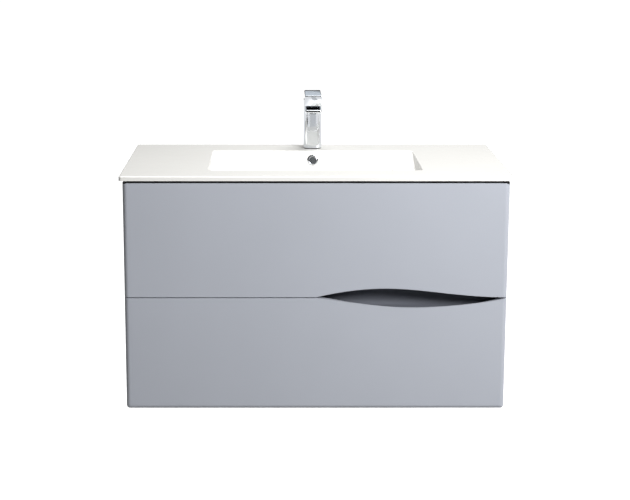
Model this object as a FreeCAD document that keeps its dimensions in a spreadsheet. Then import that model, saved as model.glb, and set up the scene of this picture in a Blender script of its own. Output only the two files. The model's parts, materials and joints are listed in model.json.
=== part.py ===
import FreeCAD, Part
import math
import os
import re

import Sketcher

# Wall-hung bathroom vanity: a two-drawer cabinet with a ceramic washbasin and a single-lever tap.
# Frame: millimetres, +Z up, the wall is the plane Y = 0 and the fronts face -Y. The origin is on the
# wall, in the middle of the cabinet's width, at the underside of its bottom panel.
# Every size is a cell of the sheet "Dims"; the objects are bound to the cells by expressions.

doc = FreeCAD.newDocument("vanity")
sheet = doc.addObject("Spreadsheet::Sheet", "Dims")
aliases = []
nodes = {}


def dimension(alias, value, note):
    """Adds one driving size to the sheet."""
    row = len(aliases) + 1
    sheet.set(f"A{row}", note)
    sheet.set(f"B{row}", str(value))
    sheet.setAlias(f"B{row}", alias)
    aliases.append(alias)


# Carcass
dimension("panel", 16, "thickness of the carcass panels")
dimension("carcass_width", 982, "outside width of the carcass")
dimension("carcass_height", 608, "height of the carcass sides")
dimension("carcass_depth", 434, "depth of the carcass sides")
dimension("bottom_rail_height", 80, "height of the lower rear rail")
dimension("hanging_rail_height", 100, "height of the upper rear rail")
dimension("hanging_rail_drop", 70, "from the carcass top to the upper rear rail")
dimension("rail_inset", 20, "gap between the wall and the rear rails")
dimension("front_rail_width", 32, "width of the flat rail under the basin's front")
# Fronts
dimension("front_cover", 4, "how far the fronts reach past each side panel")
dimension("front_thickness", 20, "thickness of a drawer front")
dimension("top_gap", 7, "gap between the upper front and the washbasin")
dimension("front_gap", 3, "gap between the two fronts")
dimension("front_drop", 4, "how far the lower front hangs below the carcass")
dimension("bumper_gap", 3, "gap between the carcass and the closed fronts")
dimension("side_round", 12, "rounding of the fronts' outer vertical edges")
dimension("corner_round", 8, "rounding of the lower front's bottom corners")
dimension("edge_round", 1.2, "small rounding of the fronts' other edges")
# Leaf-shaped grip between the fronts
dimension("grip_start", 1, "where the grip's left tip lies, right of the middle")
dimension("grip_length", 491, "length of the grip from tip to tip")
dimension("grip_rise", 23.5, "how far the grip cuts up into the upper front")
dimension("grip_fall", 25, "how far the grip cuts down into the lower front")
dimension("grip_land", 4, "thickness left at the grip's edge in front of its bevel")
dimension("grip_bevel", 11, "how much wider the grip is at the back of the fronts")
dimension("channel_height", 64, "height of the grip channel behind the fronts")
dimension("channel_depth", 31, "depth of the grip channel")
dimension("channel_wall", 1.5, "wall of the grip channel")
dimension("channel_end", 2, "thickness of the grip channel's end plates")
# Hangers
dimension("hanger_wall", 2, "wall of the hangers' cases")
dimension("hanger_width", 16, "width of the hangers' cases")
dimension("hanger_height", 56, "height of the hangers' cases")
dimension("hanger_rear", 15, "from the wall to the hangers' cases")
dimension("hanger_length", 55, "depth of the hangers' cases")
dimension("hanger_drop", 4, "from the carcass top to the hangers' cases")
dimension("hanger_screw_drop", 18, "from the carcass top to the hangers' upper screws")
dimension("hanger_screw_pitch", 28, "distance between a hanger's screws")
dimension("hook_drop", 20, "from the carcass top to the hooks")
dimension("hook_width", 6, "width of a hook")
dimension("hook_thickness", 4, "thickness of a hook")
dimension("plate_length", 60, "length of a wall plate")
dimension("plate_height", 42, "height of a wall plate")
dimension("plate_gauge", 2, "steel thickness of a wall plate")
dimension("plate_ledge", 8, "how far a wall plate stands off the wall")
dimension("plate_hole_radius", 3.5, "radius of a wall plate's holes")
dimension("plate_hole_end", 8, "from a wall plate's ends to its holes")
# Drawer runners, as sections across the runner: from the panel inwards, and up from its base
dimension("runner_length", 390, "length of the cabinet rail")
dimension("middle_length", 370, "length of the middle rail")
dimension("carrier_length", 385, "length of the drawer rail")
dimension("gauge", 1.5, "steel thickness of the runner rails")
dimension("rail_flange", 28, "height of the cabinet rail's wall flange")
dimension("track_start", 19.5, "from the side panel to the cabinet rail's track")
dimension("track_width", 26.5, "outside width of the track")
dimension("track_height", 8.6, "outside height of the track")
dimension("track_lip", 5, "width of the lips that hold the middle rail down")
dimension("middle_base", 3.9, "height of the middle rail's foot")
dimension("middle_height", 16.1, "height of the middle rail")
dimension("carrier_height", 9, "height of the drawer rail")
dimension("carrier_top", 24, "height of the drawer rail's top, where the drawer rests")
dimension("roller", 2.2, "diameter of the runner's rollers")
dimension("runner_clear", 4, "gap between a pair of runners and what lies below it")
# Drawer boxes
dimension("box_gap", 5, "gap between a drawer box and the side panel")
dimension("box_wall", 14, "thickness of the drawer sides and backs")
dimension("box_floor", 12, "thickness of the drawer bottoms")
dimension("box_depth", 380, "depth of the drawer boxes")
dimension("bracket_drop", 15, "from the top of a drawer's sides down to its brackets' upper screws")
dimension("bracket_pitch", 24, "distance between a bracket's screws")
dimension("bracket_margin", 9, "from a bracket's screws to its ends")
dimension("bracket_gauge", 2, "steel thickness of a bracket")
dimension("bracket_side", 40, "length of a bracket's leg on the drawer side")
dimension("bracket_face", 34, "length of a bracket's leg on the front")
dimension("bracket_side_hole", 28, "from the front's back to the screws in the drawer side")
dimension("bracket_face_hole", 22, "from the drawer side to the screws in the front")
dimension("clip_width", 18, "width of a release clip")
dimension("clip_height", 12, "height of a release clip")
dimension("clip_length", 42, "length of a release clip")
dimension("clip_setback", 8, "from the front's back to a release clip")
dimension("tongue_reach", 8, "how far a release clip's lever stands out")
dimension("tongue_length", 20, "length of a release clip's lever")
dimension("tongue_height", 4, "thickness of a release clip's lever")
dimension("box_skirt", 13, "how far the drawer sides reach below the drawer rail's top")
dimension("lower_headroom", 41, "gap between the lower drawer's sides and the grip channel")
dimension("upper_headroom", 19, "gap between the upper drawer's sides and the bowl's underside")
dimension("trap_bay_half", 90, "half the width of the upper drawer's cut-out for the trap")
dimension("trap_bay_front", 305, "from the wall to the front of that cut-out")
dimension("bay_board", 12, "thickness of the boards round that cut-out")
# Washbasin
dimension("basin_overhang", 12, "how far the washbasin reaches past each side panel")
dimension("basin_depth", 465, "depth of the washbasin")
dimension("basin_edge", 12, "thickness of the washbasin's edge")
dimension("basin_corner", 7, "radius of the washbasin's corners")
dimension("bowl_width", 560, "width of the bowl at the deck")
dimension("bowl_rear", 105, "from the wall to the bowl")
dimension("bowl_length", 278, "front-to-back size of the bowl at the deck")
dimension("bowl_depth", 120, "depth of the bowl")
dimension("bowl_floor_width", 350, "width of the bowl's floor")
dimension("bowl_floor_rear", 125, "from the wall to the bowl's floor")
dimension("bowl_floor_length", 215, "front-to-back size of the bowl's floor")
dimension("bowl_corner", 9, "corner radius of the bowl at the deck")
dimension("bowl_floor_corner", 26, "corner radius of the bowl's floor")
dimension("deck_round", 3.5, "rounding of the washbasin's upper edges and of the bowl's rim")
dimension("ceramic", 10, "thickness of the bowl's wall")
dimension("overflow_drop", 26, "from the deck down to the overflow")
dimension("overflow_radius", 11, "radius of the overflow hole")
# Waste and trap
dimension("waste_from_wall", 235, "from the wall to the middle of the waste")
dimension("drain_radius", 22.5, "radius of the hole in the bowl's floor")
dimension("tail_radius", 21, "outer radius of the waste's threaded tail")
dimension("tail_length", 55, "length of the tail below the bowl's floor")
dimension("plug_travel", 8, "how far the plug rises")
dimension("pipe_radius", 16, "outer radius of the waste pipes")
dimension("pipe_wall", 1.5, "wall of the waste pipes")
dimension("outlet_drop", 48, "from the tail's end down to the middle of the trap's outlet")
dimension("bottle_radius", 36, "outer radius of the bottle trap")
# Tap
dimension("tap_from_wall", 48, "from the wall to the tap's axis")
dimension("tap_hole_radius", 17.5, "radius of the tap hole")
dimension("column_size", 50, "width and depth of the tap's column")
dimension("column_round", 14, "corner radius of the column")
dimension("column_height", 138, "height of the column")
dimension("spout_reach", 112, "from the tap's axis to the front of the spout")
dimension("spout_width", 45, "width of the spout")
dimension("spout_front", 9, "height of the spout's front")
dimension("spout_fall", 16, "how far the spout's top falls from the column to its front")
dimension("spout_root", 36, "height of the spout where it leaves the column")
dimension("aerator_radius", 11, "radius of the aerator")
dimension("aerator_height", 8, "height of the aerator")
dimension("aerator_seat", 5, "how deep the aerator sits in the spout")
dimension("aerator_setback", 15, "from the spout's front to the aerator's axis")
dimension("inlet_radius", 5, "radius of the threaded water inlets")
dimension("inlet_depth", 12, "depth of the threaded water inlets")
dimension("inlet_offset", 8, "from the tap's middle plane to each inlet")
dimension("inlet_ahead", 5, "from the tap's axis forward to the inlets")
dimension("stud_radius", 4, "radius of the stud that clamps the tap")
dimension("stud_length", 72, "length of the stud")
dimension("stud_behind", 10, "from the tap's axis back to the stud")
dimension("washer_radius", 22, "radius of the clamp washer")
dimension("washer_height", 3, "thickness of the clamp washer")
dimension("clamp_nut_height", 8, "height of the clamp nut")
dimension("clamp_nut_radius", 7.5, "radius over the clamp nut's corners")
dimension("seal_height", 2, "height of the seal under the tap")
dimension("lever_gap", 4, "gap between the column and the lever")
dimension("lever_reach", 104, "from the tap's axis to the front of the lever")
dimension("lever_tail", 24, "from the tap's axis back to the lever's rear")
dimension("lever_width", 47, "width of the lever")
dimension("lever_lip", 29, "height of the lever's front")
dimension("lever_lip_gap", 10, "gap between the lever's front and the spout")
dimension("lever_crown", 22, "from the column's top to the lever's rear top edge")
dimension("lever_wall", 4, "wall of the hollow lever")
dimension("lever_boss", 14, "from the tap's axis forward to the lever's hollow")
dimension("stem_half", 4, "half the width of the stem under the lever")
dimension("pin_radius", 1.5, "radius of the pivot pin")
dimension("pivot_drop", 6, "from the column's top down to the lever's pivot")
dimension("cartridge_radius", 17, "outer radius of the cartridge")
dimension("cartridge_height", 50, "height of the cartridge")
dimension("rotor_radius", 12, "radius of the cartridge's rotor")
# Fasteners and clearances
dimension("screw_radius", 2, "shank radius of the screws")
dimension("screw_head", 4, "head radius of the screws")
dimension("screw_length", 12, "length of the screws under the head")
dimension("cam_radius", 7.5, "radius of the cam fittings")
dimension("cam_height", 12.5, "height of the cam fittings")
dimension("cam_reach", 34, "from a panel's end to the cam's axis")
dimension("dowel_radius", 3.5, "radius of the cam bolts")
dimension("running", 0.1, "running clearance")
doc.recompute()


def ex(text):
    """An expression for FreeCAD: every alias in text gets the sheet's name in front."""
    def qualified(found):
        return "Dims." + found[0] if found[0] in aliases else found[0]

    return re.sub(r"\b[a-z_][a-z_0-9]*\b", qualified, f"({text})")


def number(text):
    """The value that an expression has now."""
    return float(sheet.evalExpression(ex(text)))


# Derived places, as expressions of the driving sizes
INNER = "(carcass_width/2 - panel)"
FRONT_BACK = "(-carcass_depth - bumper_gap)"
FRONT_FACE = f"({FRONT_BACK} - front_thickness)"
FRONT_HALF = "((carcass_width + 2*front_cover)/2)"
BASIN_HALF = "((carcass_width + 2*basin_overhang)/2)"
LOWER_BOTTOM = "(-front_drop)"
UPPER_TOP = "(carcass_height - top_gap)"
LOWER_TOP = f"(({LOWER_BOTTOM} + {UPPER_TOP} - front_gap)/2)"
UPPER_BOTTOM = f"({LOWER_TOP} + front_gap)"
SPLIT = f"({LOWER_TOP} + front_gap/2)"
DECK = "(carcass_height + basin_edge)"
FLOOR = f"({DECK} - bowl_depth)"
UNDER_BOWL = f"({FLOOR} - ceramic)"
BOX_OUT = f"({INNER} - box_gap)"
BOX_IN = f"({BOX_OUT} - box_wall)"
BOX_REAR = f"({FRONT_BACK} + box_depth)"
RUNNER_FRONT = "(-carcass_depth + 2)"
RUNNER = {
    "lower": "(panel + runner_clear)",
    "upper": f"({SPLIT} + channel_height/2 + runner_clear)",
}
HANGING_TOP = "(carcass_height - hanging_rail_drop)"
BOX_TOP = {
    "lower": f"({SPLIT} - channel_height/2 - lower_headroom)",
    "upper": f"({UNDER_BOWL} - upper_headroom)",
}
OUTLET = f"({FLOOR} - tail_length - outlet_drop)"
TAP_BASE = f"({DECK} + seal_height)"
COLUMN_TOP = f"({TAP_BASE} + column_height)"
LEVER_UNDER = f"({COLUMN_TOP} + lever_gap)"
PIVOT = f"({COLUMN_TOP} - pivot_drop)"
WASTE_Y = "(-waste_from_wall)"
TAP_Y = "(-tap_from_wall)"
SPOUT_NOSE = f"({TAP_Y} - spout_reach)"
SPOUT_TOP = f"({COLUMN_TOP} - spout_fall)"
SPOUT_UNDER = f"({SPOUT_TOP} - spout_front)"
AERATOR_Y = f"({SPOUT_NOSE} + aerator_setback)"
AERATOR_TOP = f"({SPOUT_UNDER} + aerator_seat)"
AXES = {"z": (0, 0, 1), "x": (0, 1, 0), "y": (-1, 0, 0)}
TURNS = {"z": 0, "x": 90, "y": 90}
COVER = 5  # how far a cutting tool runs past the face it cuts
ROLLER_ROWS = 6


# ---- building blocks -------------------------------------------------------------------------------


def keep(label, made):
    """Names a finished sub-part; its label names its file."""
    made.Label = label
    nodes[label] = made
    return made


def bind(made, sizes):
    for name, text in sizes.items():
        made.setExpression(name, ex(text))
    return made


def place(made, x="0", y="0", z="0"):
    return bind(made, {"Placement.Base.x": x, "Placement.Base.y": y, "Placement.Base.z": z})


def box(name, x, y, z):
    """A box between pairs of expressions along each axis."""
    made = doc.addObject("Part::Box", name)
    for size, (low, high) in (("Length", x), ("Width", y), ("Height", z)):
        bind(made, {size: f"({high}) - ({low})"})
    return place(made, x[0], y[0], z[0])


def rod(name, radius, length, at, axis="z"):
    """A cylinder from a point along +X, +Y or +Z."""
    made = doc.addObject("Part::Cylinder", name)
    made.Placement.Rotation = FreeCAD.Rotation(FreeCAD.Vector(*AXES[axis]), TURNS[axis])
    bind(made, {"Radius": radius, "Height": length})
    return place(made, *at)


def hexagon(name, across, height, at):
    """A hexagonal prism, by its corner radius."""
    made = doc.addObject("Part::Prism", name)
    made.Polygon = 6
    bind(made, {"Circumradius": across, "Height": height})
    return place(made, *at)


def fuse(name, parts):
    made = doc.addObject("Part::MultiFuse", name)
    made.Shapes = parts
    return made


def cut(name, base, tools):
    made = doc.addObject("Part::Cut", name)
    made.Base = base
    made.Tool = tools[0] if len(tools) == 1 else fuse(name + "Tools", tools)
    return made


def group(name, parts):
    """Separate solids in one node."""
    made = doc.addObject("Part::Compound", name)
    made.Links = parts
    return made


def inwards(sign, face, a, b):
    """The X range from a to b measured inwards from an inner face on the left (-1) or the right (1)."""
    start = f"({face} - ({a}))"
    end = f"({face} - ({b}))"
    return (f"-{start}", f"-{end}") if sign < 0 else (end, start)


def mirrored(name, source):
    """The same piece for the other side of the cabinet."""
    made = doc.addObject("Part::Mirroring", name)
    made.Source = source
    made.Normal = (1, 0, 0)
    return made


def sketch(body, name, plane, points, offset="0"):
    """A closed outline whose corners are bound to expressions, on one of the body's origin planes."""
    drawn = body.newObject("Sketcher::SketchObject", name)
    support = [f for f in body.Origin.OriginFeatures if f.Role == plane][0]
    drawn.AttachmentSupport = [(support, "")]
    drawn.MapMode = "FlatFace"
    drawn.setExpression("AttachmentOffset.Base.z", ex(offset))
    corners = [(number(a), number(b)) for a, b in points]
    for i, corner in enumerate(corners):
        following = corners[(i + 1) % len(corners)]
        drawn.addGeometry(Part.LineSegment(FreeCAD.Vector(*corner, 0), FreeCAD.Vector(*following, 0)))
    for i in range(len(corners)):
        drawn.addConstraint(Sketcher.Constraint("Coincident", i, 2, (i + 1) % len(corners), 1))
    for i, (point, corner) in enumerate(zip(points, corners)):
        for kind, text, value in (("DistanceX", point[0], corner[0]), ("DistanceY", point[1], corner[1])):
            index = drawn.addConstraint(Sketcher.Constraint(kind, -1, 1, i, 1, value))
            drawn.setExpression(f"Constraints[{index}]", ex(text))
    return drawn


def rounded_outline(body, name, half, low, high, corner, offset):
    """A rounded rectangle across X = 0 from Y = low to Y = high, on the body's XY plane."""
    drawn = body.newObject("Sketcher::SketchObject", name)
    drawn.AttachmentSupport = [([f for f in body.Origin.OriginFeatures if f.Role == "XY_Plane"][0], "")]
    drawn.MapMode = "FlatFace"
    drawn.setExpression("AttachmentOffset.Base.z", ex(offset))
    sides = [
        (f"(-{half} + {corner})", low, f"({half} - {corner})", low),
        (half, f"({low} + {corner})", half, f"({high} - {corner})"),
        (f"({half} - {corner})", high, f"(-{half} + {corner})", high),
        (f"(-{half})", f"({high} - {corner})", f"(-{half})", f"({low} + {corner})"),
    ]
    radius = number(corner)
    for i, side in enumerate(sides):
        x0, y0, x1, y1 = (number(text) for text in side)
        drawn.addGeometry(Part.LineSegment(FreeCAD.Vector(x0, y0, 0), FreeCAD.Vector(x1, y1, 0)))
        turn = math.radians(90 * i - 90)
        middle = FreeCAD.Vector(x1 - radius * math.cos(turn), y1 - radius * math.sin(turn), 0)
        circle = Part.Circle(middle, FreeCAD.Vector(0, 0, 1), radius)
        drawn.addGeometry(Part.ArcOfCircle(circle, turn, turn + math.pi / 2))
    for i, side in enumerate(sides):
        line = 2 * i
        drawn.addConstraint(Sketcher.Constraint("Coincident", line, 2, line + 1, 1))
        drawn.addConstraint(Sketcher.Constraint("Coincident", line + 1, 2, (line + 2) % 8, 1))
        index = drawn.addConstraint(Sketcher.Constraint("Radius", line + 1, radius))
        drawn.setExpression(f"Constraints[{index}]", ex(corner))
        for end, place_of in ((1, side[:2]), (2, side[2:])):
            for kind, text in zip(("DistanceX", "DistanceY"), place_of):
                index = drawn.addConstraint(Sketcher.Constraint(kind, -1, 1, line, end, number(text)))
                drawn.setExpression(f"Constraints[{index}]", ex(text))
    return drawn


def pad(body, drawn, length, midplane=False, reverse=False):
    made = body.newObject("PartDesign::Pad", drawn.Name + "Pad")
    made.Profile = drawn
    made.Midplane = midplane
    made.Reversed = reverse
    made.setExpression("Length", ex(length))
    drawn.Visibility = False
    return made


def extruded(name, plane, points, length, midplane=False, reverse=False):
    """A body made by extruding one outline."""
    body = doc.addObject("PartDesign::Body", name)
    pad(body, sketch(body, name + "Outline", plane, points), length, midplane, reverse)
    return body


def turned(name, points, at=("0", "0", "0"), axis="z"):
    """A body turned from an outline of (radius, height) points. An axis of "y" lays its height along +Y."""
    body = doc.addObject("PartDesign::Body", name)
    drawn = sketch(body, name + "Outline", "XZ_Plane", points)
    made = body.newObject("PartDesign::Revolution", name + "Turn")
    made.Profile = drawn
    made.ReferenceAxis = (drawn, ["V_Axis"])
    made.Angle = 360
    if axis != "z":
        body.Placement.Rotation = FreeCAD.Rotation(FreeCAD.Vector(*AXES[axis]), TURNS[axis])
    return place(body, *at)


def edges_where(shape, test):
    """Names of the edges that pass a test on their bounding box."""
    return [f"Edge{i}" for i, edge in enumerate(shape.Edges, 1) if test(edge.BoundBox)]


def rounded(body, test, radius):
    """Adds a fillet to the body's tip, on the edges that pass the test."""
    doc.recompute()
    base = body.Tip
    names = edges_where(base.Shape, test)
    made = body.newObject("PartDesign::Fillet", f"{body.Name}Round{len(body.Group)}")
    made.Base = (base, names)
    made.setExpression("Radius", ex(radius))
    body.Tip = made
    return made


def near(a, b, slack=0.01):
    return abs(a - b) < slack


def upright(b):
    """True for an edge that runs along Z."""
    return b.ZLength > 1 and b.XLength < 0.01 and b.YLength < 0.01


def screw(name, at, axis, inward):
    """A pan-head screw: at is where the head meets the face, inward is the sign of its direction."""
    x, y, z = at
    shift = {"x": 0, "y": 1, "z": 2}[axis]
    low = list(at)
    high = list(at)
    low[shift] = f"({at[shift]} - {'screw_length' if inward < 0 else 'screw_head/2'})"
    high[shift] = f"({at[shift]} - {'0' if inward < 0 else 'screw_head/2'})"
    shank = rod(name + "Shank", "screw_radius", "screw_length + screw_head/2", low, axis)
    head = rod(name + "Head", "screw_head", "screw_head/2", high, axis)
    return fuse(name, [shank, head])


def pilot(name, at, axis, inward):
    """The hole that a screw's shank fills."""
    low = list(at)
    shift = {"x": 0, "y": 1, "z": 2}[axis]
    low[shift] = f"({at[shift]} - {'screw_length' if inward < 0 else '0'})"
    return rod(name, "screw_radius", "screw_length", low, axis)


# ---- grip ------------------------------------------------------------------------------------------

# Control points of the leaf's two edges, as fractions of its length and of its rise or fall. The
# upper edge climbs quickly and runs out flat on the right; the lower edge leaves flat on the left
# and closes steeply.
UPPER_LEAF = [(0, 0), (0.10, 0.53), (0.32, 1.24), (0.60, 0.70), (0.86, 0), (1, 0)]
LOWER_LEAF = [(0, 0), (0.06, 0.08), (0.32, 0.94), (0.60, 1.14), (0.91, 0.44), (1, 0)]
LEAF_DEGREE = 3


def leaf_edge(points, height, level, y):
    """One curved edge of the grip in the plane Y = y."""
    start = number("grip_start")
    length = number("grip_length")
    curve = Part.BSplineCurve()
    poles = [FreeCAD.Vector(start + u * length, y, level + v * height) for u, v in points]
    curve.buildFromPoles(poles, False, LEAF_DEGREE)
    return curve.toShape()


def leaf_face(points, height, level, y):
    """The area between a curved edge and the straight line through its tips."""
    edge = leaf_edge(points, height, level, y)
    chord = Part.makeLine(edge.Vertexes[-1].Point, edge.Vertexes[0].Point)
    return Part.Wire([edge, chord])


def grip_cutter(name, points, height, level):
    """What the grip takes out of a front: straight through its land, then wider towards the back."""
    face = number(FRONT_FACE)
    land = face + number("grip_land")
    back = number(FRONT_BACK)
    wider = height + math.copysign(number("grip_bevel"), height)
    straight = Part.Face(leaf_face(points, height, level, face - COVER))
    straight = straight.extrude(FreeCAD.Vector(0, land - face + COVER, 0))
    run_out = (wider - height) * COVER / (back - land)
    narrow_end = leaf_face(points, height, level, land)
    wide_end = leaf_face(points, wider + run_out, level, back + COVER)
    bevel = Part.makeLoft([narrow_end, wide_end], True, True)
    # a thin strip past the straight line clears the front's own edge and its small rounding
    strip = number("front_gap") / 2 + number("edge_round")
    low = level if height < 0 else level - strip
    slot = Part.makeBox(
        number("grip_length"), back - face + 2 * COVER, strip,
        FreeCAD.Vector(number("grip_start"), face - COVER, low),
    )
    made = doc.addObject("Part::Feature", name)
    made.Shape = straight.fuse([bevel, slot])
    return made


def build_fronts():
    """Two lacquered fronts. Each has its leaf edge cut and four screw holes from behind."""
    half = FRONT_HALF
    for which, low, high, points, height, level in (
        ("lower", LOWER_BOTTOM, LOWER_TOP, LOWER_LEAF, -number("grip_fall"), number(LOWER_TOP)),
        ("upper", UPPER_BOTTOM, UPPER_TOP, UPPER_LEAF, number("grip_rise"), number(UPPER_BOTTOM)),
    ):
        outline = [(f"-{half}", low), (half, low), (half, high), (f"-{half}", high)]
        body = doc.addObject("PartDesign::Body", f"{which}FrontBoard")
        drawn = sketch(body, f"{which}FrontOutline", "XZ_Plane", outline, f"-{FRONT_BACK}")
        pad(body, drawn, "front_thickness")
        face = number(FRONT_FACE)
        side = number(half)
        bottom = number(low)
        top = number(high)

        def bottom_corner(b):
            return b.YLength > 1 and near(b.XLength, 0) and near(b.ZMax, bottom)

        def outer_edge(b):
            return upright(b) and near(b.YMin, face) and near(abs(b.XMin), side)

        def top_edge(b):
            return b.XLength > side and near(b.YMax, face) and near(b.ZMin, top)

        if which == "lower":
            rounded(body, bottom_corner, "corner_round")
        rounded(body, outer_edge, "side_round")
        rounded(body, top_edge, "edge_round")
        tools = [grip_cutter(f"{which}Grip", points, height, level)]
        for i, at in enumerate(front_screw_places(which)):
            tools.append(pilot(f"{which}FrontPilot{i}", at, "y", -1))
        keep(f"{which}_front", cut(f"{which}Front", body, tools))


def channel_screw_places():
    """Where the screws of the channel's end plates go into a side panel, as (y, z)."""
    middle = "(-carcass_depth + channel_depth/2)"
    return [(middle, f"({SPLIT} + {sign}channel_height/4)") for sign in ("-", "")]


def build_channel():
    """Grip channel: a C-shaped profile across the cabinet behind the fronts, with a plate on each end."""
    low = f"({SPLIT} - channel_height/2)"
    high = f"({SPLIT} + channel_height/2)"
    front = "(-carcass_depth)"
    back = f"({front} + channel_depth)"
    outline = [(front, low), (back, low), (back, high), (front, high)]
    hollow = [
        (f"{front} - 1", f"{low} + channel_wall"), (f"{back} - channel_wall", f"{low} + channel_wall"),
        (f"{back} - channel_wall", f"{high} - channel_wall"), (f"{front} - 1", f"{high} - channel_wall"),
    ]
    outside = extruded("ChannelOutside", "YZ_Plane", outline, f"2*{INNER}", midplane=True)
    inside = extruded("ChannelInside", "YZ_Plane", hollow, f"2*({INNER} - channel_end)", midplane=True)
    # large corners make the hollow smooth to the fingers
    for body, corner, radius in (
        (outside, number(back), "channel_depth/2"),
        (inside, number(f"{back} - channel_wall"), "channel_depth/2 - channel_wall"),
    ):
        rounded(body, lambda b: b.XLength > 10 and near(b.YMin, corner) and near(b.YMax, corner), radius)
    bores = [
        rod(f"ChannelBore{i}", "screw_radius", f"2*{INNER}", (f"(-{INNER})", y, z), "x")
        for i, (y, z) in enumerate(channel_screw_places())
    ]
    keep("grip_channel", cut("GripChannel", outside, [inside] + bores))


# ---- carcass ---------------------------------------------------------------------------------------


def cam_places():
    """Each cam joint: name, its height or depth along the side, the panel's face that it sits in."""
    rail_y = "(-rail_inset - panel/2)"
    return [
        ("BottomFront", "(-carcass_depth + 60)", "panel/2", "z", "panel - cam_height"),
        ("BottomRear", "(-60)", "panel/2", "z", "panel - cam_height"),
        ("FootRailLow", rail_y, "panel + 20", "y", "-rail_inset - cam_height"),
        ("FootRailHigh", rail_y, "panel + bottom_rail_height - 20", "y", "-rail_inset - cam_height"),
        ("HangRailLow", rail_y, f"{HANGING_TOP} - hanging_rail_height + 25", "y",
         "-rail_inset - cam_height"),
        ("HangRailHigh", rail_y, f"{HANGING_TOP} - 25", "y", "-rail_inset - cam_height"),
        ("FrontRail", "(-carcass_depth + front_rail_width/2)", "carcass_height - panel/2", "z",
         "carcass_height - panel"),
    ]


def cam_cylinders(kind):
    """The cams and bolts of both sides, as solids (kind "Fit") or as the holes they need (kind "Hole")."""
    made = []
    for name, y, z, axis, face in cam_places():
        for side, sign in (("Left", "-"), ("Right", "")):
            x = f"({sign}({INNER} - cam_reach))"
            at = (x, y, face) if axis == "z" else (x, face, z)
            made.append(rod(f"{kind}{side}{name}Cam", "cam_radius", "cam_height", at, axis))
            left_start = f"(-{INNER} - panel/2)"
            right_start = f"({INNER} - cam_reach + cam_radius + running)"
            start = left_start if side == "Left" else right_start
            length = "cam_reach - cam_radius - running + panel/2"
            made.append(rod(f"{kind}{side}{name}Bolt", "dowel_radius", length, (start, y, z), "x"))
    return made


def rail_screw_places(runner):
    """Where the screws of a runner go into a side panel, as (y, z)."""
    height = f"({runner} + gauge + rail_flange/2)"
    return [(f"({RUNNER_FRONT} + runner_length*{share})", height) for share in (0.08, 0.5, 0.92)]


def hanger_screw_places():
    """Where the screws of a hanger go into a side panel, as (y, z)."""
    y = "(-hanger_rear - hanger_length + hanger_screw_drop)"
    upper = "(carcass_height - hanger_screw_drop)"
    return [(y, upper), (y, f"({upper} - hanger_screw_pitch)")]


def side_screw_places():
    """Every screw in a side panel: thickness of what it holds, and its place as (y, z)."""
    rails = rail_screw_places(RUNNER["lower"]) + rail_screw_places(RUNNER["upper"])
    groups = (
        ("gauge", rails),
        ("hanger_wall", hanger_screw_places()),
        ("channel_end", channel_screw_places()),
    )
    return [(held, y, z) for held, places in groups for y, z in places]


def build_carcass():
    """Side, bottom and rail boards, held by cam fittings."""
    holes = fuse("CamHoles", cam_cylinders("Hole"))
    for side, sign in (("left", -1), ("right", 1)):
        x = ("-carcass_width/2", f"-{INNER}") if sign < 0 else (INNER, "carcass_width/2")
        board = box(f"{side}Side", x, ("-carcass_depth", "0"), ("0", "carcass_height"))
        pilots = [
            pilot(f"{side}Pilot{i}", (f"({sign}*{INNER})", y, z), "x", sign)
            for i, (held, y, z) in enumerate(side_screw_places())
        ]
        keep(f"{side}_side_panel", cut(f"{side}SidePanel", board, [holes] + pilots))
    span = (f"-{INNER}", INNER)
    behind = ("-rail_inset - panel", "-rail_inset")
    boards = {
        "bottom_panel": (span, ("-carcass_depth", "0"), ("0", "panel")),
        "front_top_rail": (span, ("-carcass_depth", "-carcass_depth + front_rail_width"),
                           ("carcass_height - panel", "carcass_height")),
        "rear_top_rail": (span, behind, (f"{HANGING_TOP} - hanging_rail_height", HANGING_TOP)),
        "rear_bottom_rail": (span, behind, ("panel", "panel + bottom_rail_height")),
    }
    for label, (x, y, z) in boards.items():
        plain = box(label.replace("_", "") + "Board", x, y, z)
        keep(label, cut(label.replace("_", "") + "Cut", plain, [holes]))
    keep("cam_fittings", group("CamFittings", cam_cylinders("Fit")))


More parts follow.
